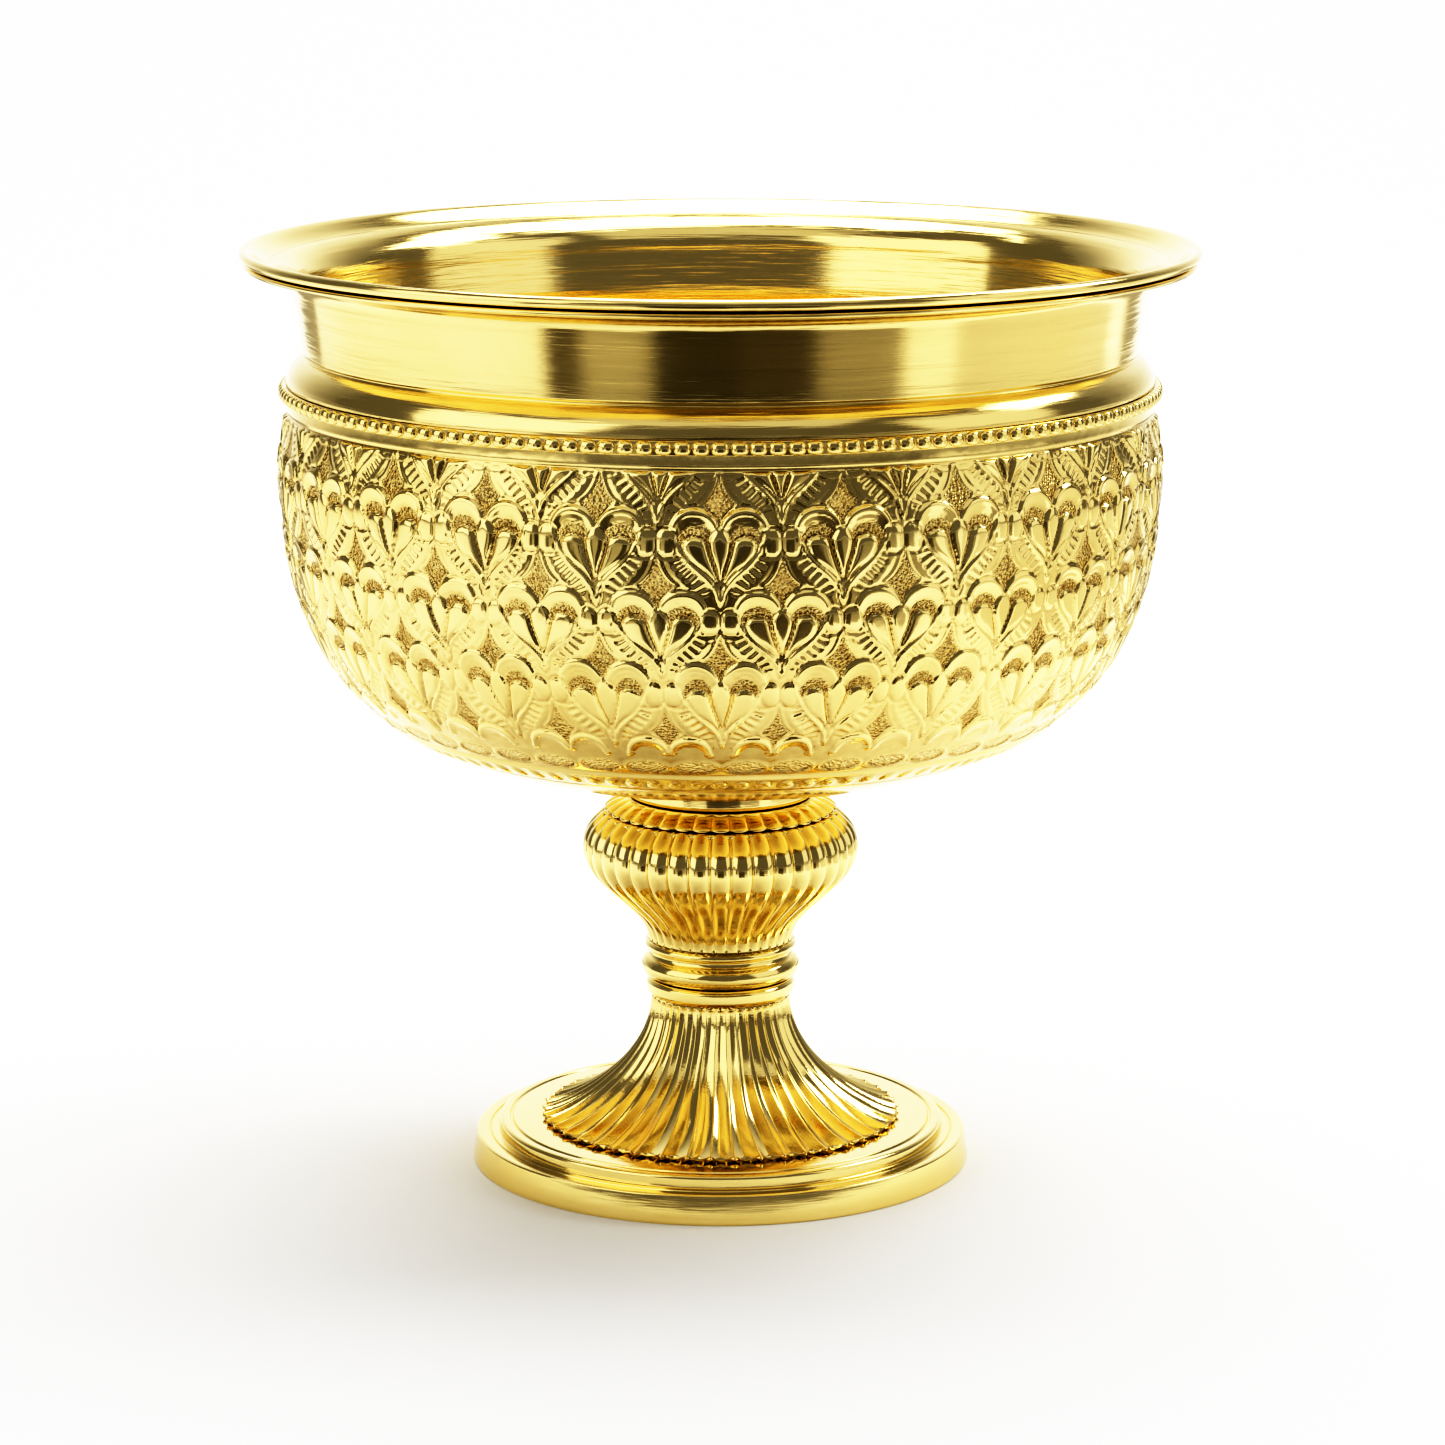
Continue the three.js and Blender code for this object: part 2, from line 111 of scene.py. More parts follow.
def rounded(corners):
    """A closed outline from (radius, height, corner radius) rows."""
    count = len(corners)
    arcs = [
        fillet(corners[i - 1][:2], corners[i][:2], corners[(i + 1) % count][:2], corners[i][2])
        for i in range(count)
    ]
    return anticlockwise(np.vstack(arcs))


def anticlockwise(outline):
    following = np.roll(outline, -1, axis=0)
    area = np.sum(outline[:, 0] * following[:, 1] - following[:, 0] * outline[:, 1])
    return outline if area > 0 else outline[::-1]


def run_of(line):
    """Length along a line, up to each of its points."""
    return np.concatenate([[0], np.cumsum(np.hypot(*np.diff(line, axis=0).T))])


def spaced(line, step):
    """An open line with its points at an even spacing."""
    run = run_of(line)
    count = max(2, int(round(run[-1] / step)) + 1)
    places = np.linspace(0, run[-1], count)
    return np.column_stack([np.interp(places, run, line[:, k]) for k in (0, 1)])


def normals_of(line, closed=False):
    """Unit normals on the right of the direction of travel."""
    if closed:
        tangent = np.roll(line, -1, axis=0) - np.roll(line, 1, axis=0)
    else:
        tangent = np.gradient(line, axis=0)
    tangent = tangent / np.maximum(np.linalg.norm(tangent, axis=1, keepdims=True), 1e-9)
    return np.column_stack([tangent[:, 1], -tangent[:, 0]])


def turns_of(columns):
    """The angle of each column of a turned mesh, as a column of numbers."""
    return (np.arange(columns) * 2 * math.pi / columns)[:, None]


# ---- meshes

def mesh_object(name, points, quads, uv=None):
    """A smooth-shaded mesh object from points in mm and quads."""
    mesh = bpy.data.meshes.new(name)
    mesh.vertices.add(len(points))
    mesh.vertices.foreach_set("co", (points * MM).astype(np.float32).ravel())
    mesh.loops.add(quads.size)
    mesh.loops.foreach_set("vertex_index", quads.astype(np.int32).ravel())
    mesh.polygons.add(len(quads))
    mesh.polygons.foreach_set("loop_start", np.arange(0, quads.size, 4, dtype=np.int32))
    mesh.update(calc_edges=True)
    if uv is not None:
        layer = mesh.uv_layers.new(name="OFBake")
        layer.data.foreach_set("uv", uv.astype(np.float32).ravel())
    mesh.shade_smooth()
    obj = bpy.data.objects.new(name, mesh)
    bpy.context.scene.collection.objects.link(obj)
    return obj


def grid_quads(columns, rows, ring=True, loop=True):
    """Quads between columns of points, that may close into a ring, as each column may into a loop."""
    i, j = np.indices((columns if ring else columns - 1, rows if loop else rows - 1)).reshape(2, -1)
    i1, j1 = (i + 1) % columns, (j + 1) % rows
    return np.column_stack([i * rows + j, i1 * rows + j, i1 * rows + j1, i * rows + j1])


def ring_uv(columns, rows):
    """Strip UVs for the corners of a closed ring's quads."""
    i, j = np.indices((columns, rows)).reshape(2, -1)
    u = np.column_stack([i, i + 1, i + 1, i]) / columns
    v = np.column_stack([j, j, j + 1, j + 1]) / rows
    return np.stack([u, v], axis=-1)


def revolve(name, outline, columns, relief=None, turn=None):
    """A closed ring turned about Z. Relief, in mm per column and point, follows the outline's normals."""
    outline = np.asarray(outline, float)
    if relief is None:
        relief = np.zeros((1, len(outline)))
    if turn is None:
        turn = turns_of(columns)
    side = normals_of(outline, closed=True)
    radius = outline[None, :, 0] + relief * side[None, :, 0]
    height = outline[None, :, 1] + relief * side[None, :, 1]
    radius, height, turn = np.broadcast_arrays(radius, height, turn)
    if radius.shape[0] == 1:
        radius, height = (np.repeat(a, columns, axis=0) for a in (radius, height))
    points = np.stack([radius * np.sin(turn), -radius * np.cos(turn), height], axis=-1)
    rows = len(outline)
    return mesh_object(name, points.reshape(-1, 3), grid_quads(columns, rows), ring_uv(columns, rows))


def finish_piece(obj, material, slot, *nodes):
    """Gives a piece its material, hangs it under the root body, and hides the CAD nodes that it stands for.
    """
    obj.data.materials.append(material)
    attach(obj, "root")
    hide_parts(*nodes)
    return obj


# ---- relief tools, on a grid of points in mm

def curve_distance(x, y, line):
    """Distance from each grid point to a polyline, and the share of its length at the nearest place."""
    best = np.full(x.shape, 1e9)
    place = np.zeros(x.shape)
    run = run_of(line)
    for k in range(len(line) - 1):
        (ax, ay), (bx, by) = line[k], line[k + 1]
        dx, dy = bx - ax, by - ay
        length2 = max(dx * dx + dy * dy, 1e-9)
        t = np.clip(((x - ax) * dx + (y - ay) * dy) / length2, 0, 1)
        distance = np.hypot(x - ax - t * dx, y - ay - t * dy)
        nearer = distance < best
        best = np.where(nearer, distance, best)
        place = np.where(nearer, (run[k] + t * math.sqrt(length2)) / run[-1], place)
    return best, place


def inside(x, y, loop):
    """Whether each grid point lies in a closed loop."""
    result = np.zeros(x.shape, bool)
    following = np.roll(loop, -1, axis=0)
    for (ax, ay), (bx, by) in zip(loop, following):
        if abs(by - ay) < 1e-9:
            continue
        crosses = (ay > y) != (by > y)
        result ^= crosses & (x < (bx - ax) * (y - ay) / (by - ay) + ax)
    return result


def depth_in(x, y, loop):
    """Signed distance to a closed loop, positive inside."""
    distance, _ = curve_distance(x, y, np.vstack([loop, loop[:1]]))
    return np.where(inside(x, y, loop), distance, -distance)


def smooth(value, low, high):
    t = np.clip((value - low) / (high - low), 0, 1)
    return t * t * (3 - 2 * t)


def quarter_round(depth, width):
    """0 at the edge of a shape, rising like a quarter circle to 1 at that width inside it."""
    t = np.clip(depth / width, 0, 1)
    return np.sqrt(1 - (1 - t) ** 2)


def bead_line(distance, width):
    """Section of a raised line: 1 on its crest, 0 at half its width."""
    t = np.clip(1 - distance / (width / 2), 0, 1)
    return t * t * (3 - 2 * t)


def dome_of(reach):
    """Half a ball: 1 in the middle, 0 where the reach is 1 and beyond."""
    return np.sqrt(np.clip(1 - reach ** 2, 0, 1))


# ---- the chased motif

# Shapes in shares of the motif's width from its middle line, and of the row's height above its tip.
HOOD_EDGE = ((0.0, 0.95), (0.01, 1.29), (0.39, 1.37), (0.405, 0.92))
LENS = ((0.070, 0.84), (0.09, 1.07), (0.30, 1.08), (0.345, 0.84))
LENS_FOOT = ((0.345, 0.84), (0.27, 0.62), (0.13, 0.62), (0.070, 0.84))
FRAME_LINE = ((0.0, -0.02), (0.02, 0.50), (0.29, 0.42), (0.375, 0.92))
SIDE_PETAL_OUT = ((0.004, 0.14), (0.024, 0.52), (0.250, 0.44), (0.295, 0.76))
SIDE_PETAL_TOP = ((0.295, 0.76), (0.295, 0.90), (0.120, 0.91), (0.104, 0.76))
SIDE_PETAL_IN = ((0.104, 0.76), (0.085, 0.58), (0.016, 0.42), (0.004, 0.14))
MID_PETAL_SIDE = ((0.0, 0.24), (0.012, 0.50), (0.085, 0.62), (0.085, 0.82))
MID_PETAL_TOP = ((0.085, 0.82), (0.07, 0.92), (0.03, 0.95), (0.0, 0.99))
DIAMOND_TOP = ((0.0, 0.66), (0.03, 0.46), (0.07, 0.34), (0.15, 0.27))
DIAMOND_FOOT = ((0.15, 0.27), (0.09, 0.20), (0.03, 0.10), (0.0, -0.04))
HATCH_PATH = ((0.125, 0.14), (0.16, 0.36), (0.30, 0.40), (0.345, 0.64))
HATCH_STROKES = 6
STEM = ((0.0, 0.0), (0.03, 0.10), (0.05, 0.26), (0.0, 0.36))
PLAIN_LEVEL = 0.30            # heights in mm above the ground of the stippled fields
STIPPLE_LEVEL = 0.0


def placed(shape, width, height, steps=14):
    line = bezier(*shape, steps=steps)
    return line * np.array([width, height])


def joined(width, height, *shapes):
    return np.vstack([placed(shape, width, height)[:-1] for shape in shapes])


def mirrored(half):
    """A closed loop from its right half, whose two ends lie on the middle line."""
    return np.vstack([half, half[-2:0:-1] * np.array([-1, 1])])


def both_halves(width, height, *shapes):
    """A closed loop from the curves of its right half."""
    end = placed(shapes[-1], width, height)[-1:]
    return mirrored(np.vstack([joined(width, height, *shapes), end]))


def flank_height(x, y, width, height):
    """The soft roll of the sheet beside the petals' frame, with short chisel strokes across it."""
    distance, place = curve_distance(x, y, placed(HATCH_PATH, width, height))
    swell = 0.42 * quarter_round(3.4 - distance, 3.4) * np.sin(math.pi * np.clip(place, 0.05, 0.95)) ** 0.6
    band = smooth(distance, 1.75, 1.25) * smooth(place, 0.0, 0.02) * smooth(place, 1.0, 0.98)
    stroke = 0.5 + 0.5 * np.cos(2 * math.pi * (place * HATCH_STROKES))
    return swell - 0.42 * band * stroke ** 1.2


def diamond_layer(x, y, width, height, level, stipple):
    """The sunk stippled field between four motifs, with its raised outline."""
    fold = width / 2 - x
    depth = depth_in(fold, y, both_halves(width, height, DIAMOND_TOP, DIAMOND_FOOT))
    sunk = smooth(depth, -0.1, 0.5)
    level = level * (1 - sunk) + STIPPLE_LEVEL * sunk
    stipple = np.maximum(stipple, smooth(depth, 0.2, 0.7))
    level = level + 0.30 * bead_line(np.abs(depth + 0.35), 1.1)
    return level, stipple


def body_layer(x, y, width, height, crisp, level, stipple):
    """Petals, their raised frame, and the stippled lens over the side petals."""
    distance, place = curve_distance(x, y, placed(FRAME_LINE, width, height))
    swell = np.sin(math.pi * np.clip(place, 0, 1)) ** 0.7
    crest = bead_line(distance, 0.9 + 1.0 * swell) * (0.35 + 0.65 * swell)
    lens = depth_in(x, y, joined(width, height, LENS, LENS_FOOT))
    lens_share = smooth(lens, 0.0, 0.45)
    level = level * (1 - lens_share) + STIPPLE_LEVEL * lens_share
    stipple = np.maximum(stipple, smooth(lens, 0.15, 0.6))
    for loop, rise, round_width in petal_loops(width, height, crisp):
        depth = depth_in(x, y, loop)
        level = level - 0.34 * bead_line(np.abs(depth + 0.2), 0.9) * (depth < 0.1)
        petal = PLAIN_LEVEL + rise * quarter_round(depth, round_width)
        level = np.where(depth > 0, np.maximum(petal, level), level)
        stipple = stipple * (1 - smooth(depth, -0.3, 0.1))
    level = level + (0.36 + 0.28 * crisp) * crest
    return level, stipple * (1 - smooth(crest, 0.2, 0.6))


def petal_loops(width, height, crisp):
    """Outlines of the stem, side and middle petal, each with its rise and its round edge's width."""
    side = joined(width, height, SIDE_PETAL_OUT, SIDE_PETAL_TOP, SIDE_PETAL_IN)
    middle = both_halves(width, height, MID_PETAL_SIDE, MID_PETAL_TOP)
    stem = mirrored(np.array(STEM) * np.array([width, height]))
    return (
        (stem, 0.30 + 0.20 * crisp, 1.2),
        (side, 0.36 + 0.64 * crisp, 0.7 + 1.3 * crisp),
        (middle, 0.40 + 0.68 * crisp, 0.7 + 1.5 * crisp),
    )


HOOD_SECTION = (
    (0.0, 0.45, 1.0, 1.7, 2.3, 2.45, 3.2, 4.2, 4.4),
    (0.0, 0.70, 1.0, 0.92, 0.60, 0.48, 0.42, 0.10, 0.0),
)


def hood_layer(x, y, width, height, crisp, level, stipple):
    """The broad arched band over each side petal: a round outer edge, and a bevel down to the lens."""
    edge = placed(HOOD_EDGE, width, height, steps=24)
    distance, place = curve_distance(x, y, edge)
    under = inside(x, y, np.vstack([edge, [edge[-1] * [1, 0.8], edge[0] * [1, 0.8] + [0.001, 0]]]))
    taper = 0.50 + 0.50 * np.sin(math.pi * np.clip(place, 0.02, 0.98)) ** 0.7
    reach = distance / taper
    cover = (under & (reach < 4.4)).astype(float)
    section = np.interp(reach, *HOOD_SECTION)
    band = PLAIN_LEVEL * 0.6 + (0.66 + 0.42 * crisp) * section * (0.7 + 0.3 * taper)
    level = np.where(cover > 0, band, level)
    level = level - 0.30 * bead_line(distance, 0.9) * (1 - cover) * (y > edge[-1][1] * 0.98)
    return level, stipple * (1 - cover)


def capsule_layer(x, y, width, height, crisp, level, stipple):
    """The pair of rounded lobes under the tip of the row above."""
    across = (width / 2 - x - 0.080 * width) / (0.077 * width)
    along = (y - 0.80 * height) / ((0.155 + 0.02 * crisp) * height)
    power = 2.2 + 0.4 * crisp
    reach = (np.abs(across) ** power + np.abs(along) ** power) ** (1 / power)
    dome = np.sqrt(np.clip(1 - reach ** 2.4, 0, 1))
    moat = bead_line(np.abs(reach - 1.06) * 2.4, 0.75)
    level = np.where(reach < 1, PLAIN_LEVEL - 0.1 + (0.60 + 0.2 * crisp) * dome, level)
    level = level - 0.22 * moat
    level = level + 0.18 * crisp * bead_line(np.abs(reach - 1.28) * 2.4, 0.8)
    stipple = stipple * (1 - smooth(reach, 1.4, 1.1))
    return level, stipple


def motif_row(x, y, width, height, crisp, level, stipple):
    """One row of motifs painted over what is there. x is folded to the motif's right half."""
    in_field = smooth(y / height, -0.1, -0.02) * smooth(y / height, 1.0, 0.97)
    field = level * (1 - in_field) + PLAIN_LEVEL * in_field
    field_stipple = stipple * (1 - in_field)
    field, field_stipple = diamond_layer(x, y, width, height, field, field_stipple)
    field = field + flank_height(x, y, width, height)
    level = np.where(in_field > 0, field, level)
    stipple = np.where(in_field > 0, field_stipple, stipple)
    level, stipple = hood_layer(x, y, width, height, crisp, level, stipple)
    level, stipple = capsule_layer(x, y, width, height, crisp, level, stipple)
    return body_layer(x, y, width, height, crisp, level, stipple)


# ---- the bowl's wall

SIDE_REACH = 40               # mm that the side stays upright below the widest level
WIDEST_BELOW_SEAM = 19.9      # mm
FLOOR_RADIUS = 26
FLOOR_INSET = 11.9            # the floor's tangent ends this far inside the widest radius
SEAM_INSET = 2.3
ROD_BORE = 4.4
WALL_STEP = 0.47              # mm between the rows of the wall's mesh

# Arc length down from the seam to each row's tips, the stagger, and how crisply the row is worked.
ROWS = (
    (18.9, 0.5, 1.0),
    (39.4, 0.0, 0.9),
    (58.9, 0.5, 0.45),
    (81.7, 0.0, 0.35),
)
FIRST_ROW_HEIGHT = 20.4
LAST_HOODS = 20.0             # height of the row of hoods that closes the chasing, in mm
PLAIN_BAND = 4.6              # mm of plain wall under the beads
BAND_GROOVE = 1.3

# Arc length down from the last row's tips to each part of the border.
BORDER_TOP = 4.4
OVALS = 8.6
RIDGE = 14.6
SCALLOPS = 20.2
LAST_GROOVE = 24.6
BORDER_END = 26


def wall_line():
    """Outside of the bowl's wall from the floor to the seam, in mm."""
    radius, bottom, top = box_of("belly_shell")
    widest = top - WIDEST_BELOW_SEAM
    side = bezier(
        (FLOOR_RADIUS, bottom),
        (radius - FLOOR_INSET, bottom),
        (radius, widest - SIDE_REACH),
        (radius, widest),
        steps=160,
    )
    seam = radius - SEAM_INSET
    lip = bezier((radius, widest), (radius, widest + 7), (seam, top - 9), (seam, top))
    return spaced(np.vstack([side, lip[1:]]), WALL_STEP)


def row_bounds(row):
    """Level of a row's tips above the seam's arc length zero, and its height up to the next tips."""
    tips = ROWS[row][0]
    above = ROWS[row - 1][0] if row > 0 else tips - FIRST_ROW_HEIGHT
    return tips, tips - above


def border_layers(turn, drop, radius, level, stipple):
    """Under the last row: arches, stippled ovals, a plain ridge, and a small scalloped border."""
    below = drop - ROWS[-1][0]
    pitch = 2 * math.pi * radius / MOTIFS
    between = np.abs(np.mod(2 * turn, 1.0) - 0.5) * pitch / 2
    oval = np.hypot(between / 5.4, (below - OVALS) / 3.0)
    level = np.where(below > BORDER_TOP, PLAIN_LEVEL, level)
    level = level + 0.34 * bead_line(np.abs(oval - 1.0) * 2.6, 1.3)
    level = np.where(oval < 0.95, PLAIN_LEVEL * 0.4 + 0.35 * dome_of(oval), level)
    stipple = np.where(below > BORDER_TOP, 0, stipple)
    stipple = np.maximum(stipple, smooth(oval, 0.95, 0.8))
    level = level + 0.75 * bead_line(np.abs(below - RIDGE), 3.4)
    small = np.abs(np.mod(4 * turn + 0.5, 1.0) - 0.5) * pitch / 4
    scallop = np.hypot(small / 1.9, (below - SCALLOPS) / 3.0)
    level = np.where(scallop < 1, level + 0.5 * dome_of(scallop), level)
    level = level - 0.3 * bead_line(np.abs(below - LAST_GROOVE), 1.0)
    return level, stipple


def wall_relief(line):
    """Height of the chasing, and where it is stippled, over one motif's width and the whole wall."""
    run = run_of(line)
    drop = (run[-1] - run)[None, :]
    turn = (np.arange(MOTIF_COLUMNS) / MOTIF_COLUMNS)[:, None]
    turn, drop = np.broadcast_arrays(turn, drop)
    radius = np.broadcast_to(line[None, :, 0], drop.shape)
    level = np.full(drop.shape, PLAIN_LEVEL)
    stipple = np.zeros(drop.shape)
    level = np.where(drop < ROWS[0][0], STIPPLE_LEVEL, level)
    stipple = np.where(drop < ROWS[0][0], 1.0, stipple)
    for index, (_, stagger, crisp) in enumerate(ROWS):
        tips, height = row_bounds(index)
        width = 2 * math.pi * np.interp(tips - height / 2, drop[0, ::-1], line[::-1, 0]) / MOTIFS
        x = np.abs(np.mod(turn - stagger + 0.5, 1.0) - 0.5) * width
        level, stipple = motif_row(x, tips - drop, width, height, crisp, level, stipple)
    x = np.abs(np.mod(turn, 1.0) - 0.5) * width
    tips = ROWS[-1][0] + LAST_HOODS
    level, stipple = hood_layer(x, tips - drop, width, LAST_HOODS, 0.2, level, stipple)
    level, stipple = border_layers(turn, drop, radius, level, stipple)
    plain = smooth(drop, PLAIN_BAND + BAND_GROOVE + 0.4, PLAIN_BAND + BAND_GROOVE)
    level = level * (1 - plain) + 0.62 * plain
    level = level - 0.75 * bead_line(np.abs(drop - PLAIN_BAND - BAND_GROOVE / 2), BAND_GROOVE)
    stipple = stipple * (1 - plain)
    worked = smooth(drop - ROWS[-1][0], BORDER_END + 1, BORDER_END)
    level = PLAIN_LEVEL + (level - PLAIN_LEVEL) * worked
    return level, stipple * worked


def handmade(turn, drop):
    """Slow wander of the chasing round the bowl, in shares of a motif's width, and of its depth."""
    sway = 0.012 * np.sin(5 * turn + 0.07 * drop) + 0.010 * np.sin(13 * turn + 1.3) * np.cos(0.11 * drop)
    depth = 1 + 0.10 * np.sin(7 * turn + 0.5) + 0.08 * np.sin(17 * turn + 0.13 * drop)
    return sway, depth


def whole_wall(line):
    """The motif's relief repeated round the bowl with the small wander of hand work."""
    level, stipple = wall_relief(line)
    run = run_of(line)
    drop = (run[-1] - run)[None, :]
    columns = MOTIFS * MOTIF_COLUMNS
    sway, depth = handmade(turns_of(columns), drop)
    place = np.mod(np.arange(columns)[:, None] + sway * MOTIF_COLUMNS, MOTIF_COLUMNS)
    first = np.floor(place).astype(int) % MOTIF_COLUMNS
    share = place - np.floor(place)
    rows = np.broadcast_to(np.arange(level.shape[1])[None, :], first.shape)
    second = (first + 1) % MOTIF_COLUMNS
    height, dots = (grid[first, rows] * (1 - share) + grid[second, rows] * share for grid in (level, stipple))
    return (height - 0.75) * depth, dots


def softened(relief, passes):
    """The relief as it shows on the back of the sheet."""
    for _ in range(passes):
        relief = (relief + np.roll(relief, 1, axis=0) + np.roll(relief, -1, axis=0)) / 3
        padded = np.pad(relief, ((0, 0), (1, 1)), mode="edge")
        relief = (padded[:, 2:] + padded[:, 1:-1] + padded[:, :-2]) / 3
    return relief


def build_wall(material):
    line = wall_line()
    relief, dots = whole_wall(line)
    side = normals_of(line)
    coarse = np.unique(np.append(np.arange(0, len(line), 3), len(line) - 1))[::-1]
    lining = (line - side * SHEET)[coarse]
    bottom = box_of("belly_shell")[1]
    floor_out = np.column_stack([np.linspace(ROD_BORE, FLOOR_RADIUS - 1, 8), np.full(8, bottom)])
    floor_in = np.column_stack([np.linspace(FLOOR_RADIUS - 1, ROD_BORE, 8), np.full(8, bottom + SHEET)])
    outline = np.vstack([floor_out, line, lining, floor_in])
    back = softened(relief, 8)[:, coarse] * -0.7
    flat = np.zeros((len(relief), 8))
    whole = np.concatenate([flat, relief, back, flat], axis=1)
    obj = revolve("bowl_wall", outline, MOTIFS * MOTIF_COLUMNS, whole)
    hollow = np.clip((-0.15 - relief) / 0.7, 0, 1)
    for name, outside in (("stipple", dots), ("hollow", hollow)):
        attribute = obj.data.attributes.new(name, "FLOAT", "POINT")
        marks = np.concatenate([flat, outside, np.zeros(back.shape), flat], axis=1)
        attribute.data.foreach_set("value", marks.astype(np.float32).ravel())
    return finish_piece(obj, material, "brass_chased", "belly_shell")


# ---- beads, neck and rim

def dome_template(across, along):
    """Half an oval bead that stands on the plane x = 0, as points and quads of unit size."""
    ring, arc = np.meshgrid(np.arange(across), np.arange(along), indexing="ij")
    angle = ring * 2 * math.pi / across
    tilt = arc * (math.pi / 2 + 0.25) / (along - 1) + 0.02
    out = np.cos(tilt)
    flat = np.sin(tilt)
    squared = (np.abs(np.cos(angle)) ** 2.6 + np.abs(np.sin(angle)) ** 2.6) ** (-1 / 2.6)
    points = np.stack([out, flat * squared * np.cos(angle), flat * squared * np.sin(angle)], axis=-1)
    outwards = np.roll(grid_quads(across, along, loop=False)[:, ::-1], 1, axis=1)
    return points.reshape(-1, 3), outwards


BEAD_STAND = 1.7              # how far the beads stand out from their seat, in mm
BEAD_SEED = 7


def build_beads(material):
    """The strip behind the beads, and one struck bead after another along it."""
    outer, low, high = box_of("bead_ring")
    seat = outer - BEAD_STAND
    middle = (low + high) / 2
    strip = rounded([
        (seat - 0.1, low, 0.1),
        (seat + 0.45, low + 0.1, 0.3),
        (seat + 0.45, high - 0.1, 0.3),
        (seat - 0.1, high, 0.1),
    ])
    backing = revolve("bead_strip", strip, 2 * BEAD_COUNT)
    finish_piece(backing, material, "brass_polished", "bead_ring")
    template, quads = dome_template(18, 9)
    sizes = np.array([outer - seat - 0.35, math.pi * seat / BEAD_COUNT * 0.93, (high - low) / 2 * 0.95])
    seeded = np.random.default_rng(BEAD_SEED)
    points, faces = [], []
    for bead in range(BEAD_COUNT):
        size = sizes * (1 + 0.035 * (seeded.random(3) - 0.5))
        local = template * size
        angle = (bead + 0.06 * (seeded.random() - 0.5)) * 2 * math.pi / BEAD_COUNT
        radius = seat + 0.3 + local[:, 0]
        x = radius * math.sin(angle) + local[:, 1] * math.cos(angle)
        y = -radius * math.cos(angle) + local[:, 1] * math.sin(angle)
        points.append(np.column_stack([x, y, middle + local[:, 2]]))
        faces.append(quads + bead * len(template))
    obj = mesh_object("bead_row", np.vstack(points), np.vstack(faces))
    return finish_piece(obj, material, "brass_polished", "bead_ring")


def neck_outside():
    """Outside of the neck, from its skirt behind the beads up to the edge of the flare."""
    flare_radius, low, high = box_of("neck_shell")
    bead_top = box_of("bead_ring")[2]
    seat = box_of("belly_shell")[0] - SEAM_INSET
    flare_top = high - SHEET
    crease = (seat - 4.4, low + 9.1)
    crease_top = (crease[0] + 0.15, crease[1] + 1.2)
    neck_top = (crease[0] + 2.3, crease[1] + 18.2)
    shoulder = bezier(
        (seat, bead_top + 0.2), (seat + 0.2, bead_top + 2.9), (crease[0] + 2.6, crease[1] - 1.7), crease, 26
    )
    bead = bezier(
        crease, (crease[0] - 0.55, crease[1] + 0.15), (crease[0] - 0.5, crease[1] + 0.75), crease_top, 10
    )
    wall = bezier(
        crease_top, (crease[0] + 0.4, crease[1] + 7), (neck_top[0] - 0.5, neck_top[1] - 4), neck_top, 40
    )
    lean = (neck_top[0] + 0.6, neck_top[1] + 4.6)
    cove = bezier(neck_top, lean, (flare_radius - 7.0, flare_top - 1.7), (flare_radius - 0.4, flare_top), 40)
    return np.vstack([[(seat, low)], shoulder, bead[1:], wall[1:], cove[1:]])


def neck_outline():
    """The neck as a closed sheet with a smooth lining."""
    outside = neck_outside()
    flare_radius, low, high = box_of("neck_shell")
    seat = outside[0][0]
    top = outside[-1]
    edge = [(flare_radius, top[1] + 0.5), (flare_radius - 0.1, high - 0.5), (flare_radius - 0.8, high - 0.2)]
    waist = outside[outside[:, 1] > low + 9][0][0] - SHEET
    throat = (waist + 2.2, high - 9.5)
    heel = (waist + 0.1, low + 9.5)
    shelf = (flare_radius - 7.6, high - 0.7)
    back = bezier(shelf, (waist + 6.0, high - 1.7), (waist + 2.6, high - 4.2), throat, 30)
    lower = bezier(throat, (waist + 1.0, high - 18), (waist, low + 14), heel, 24)
    skirt = bezier(heel, (waist + 0.6, low + 6.5), (seat - SHEET, low + 5.5), (seat - SHEET, low), 20)
    return anticlockwise(np.vstack([outside, edge, back, lower[1:], skirt[1:]]))


def build_neck(material):
    obj = revolve("bowl_neck", neck_outline(), WIDE_COLUMNS)
    return finish_piece(obj, material, "brass_brushed", "neck_shell")


def build_rim(material):
    """Turned ring on the flare: a round nose outside, and an easy slope inwards."""
    outer, low, high = box_of("rim_ring")
    nose = 1.45
    arc = arc_line((outer - nose, high - nose), nose, -88, 96, 28)
    inner = outer - 7.4
    lip = (inner, low + 0.38)
    toe = (inner + 0.4, low + 0.02)
    slope = bezier(arc[-1], (outer - 3.6, high - 0.25), (inner + 2.2, low + 1.1), lip, 20)
    tuck = bezier(lip, (inner - 0.3, low + 0.30), (inner - 0.3, low + 0.02), toe, 8)
    under = bezier(toe, (inner + 2.5, low + 0.4), (outer - 3.0, low + 1.0), arc[0], 12)
    outline = np.vstack([arc, slope[1:], tuck[1:], under[1:-1]])
    obj = revolve("bowl_rim", anticlockwise(outline), WIDE_COLUMNS)
    return finish_piece(obj, material, "brass_brushed", "rim_ring")


# ---- knop and its cap

def lobe_relief(columns, depths):
    """Convex lobes with a narrow cut between them, as deep as each outline point asks."""
    across = np.abs(np.mod(np.arange(columns) * LOBES / columns + 0.5, 1.0) - 0.5) * 2
    section = -(across ** 2.3)
    return section[:, None] * depths[None, :]


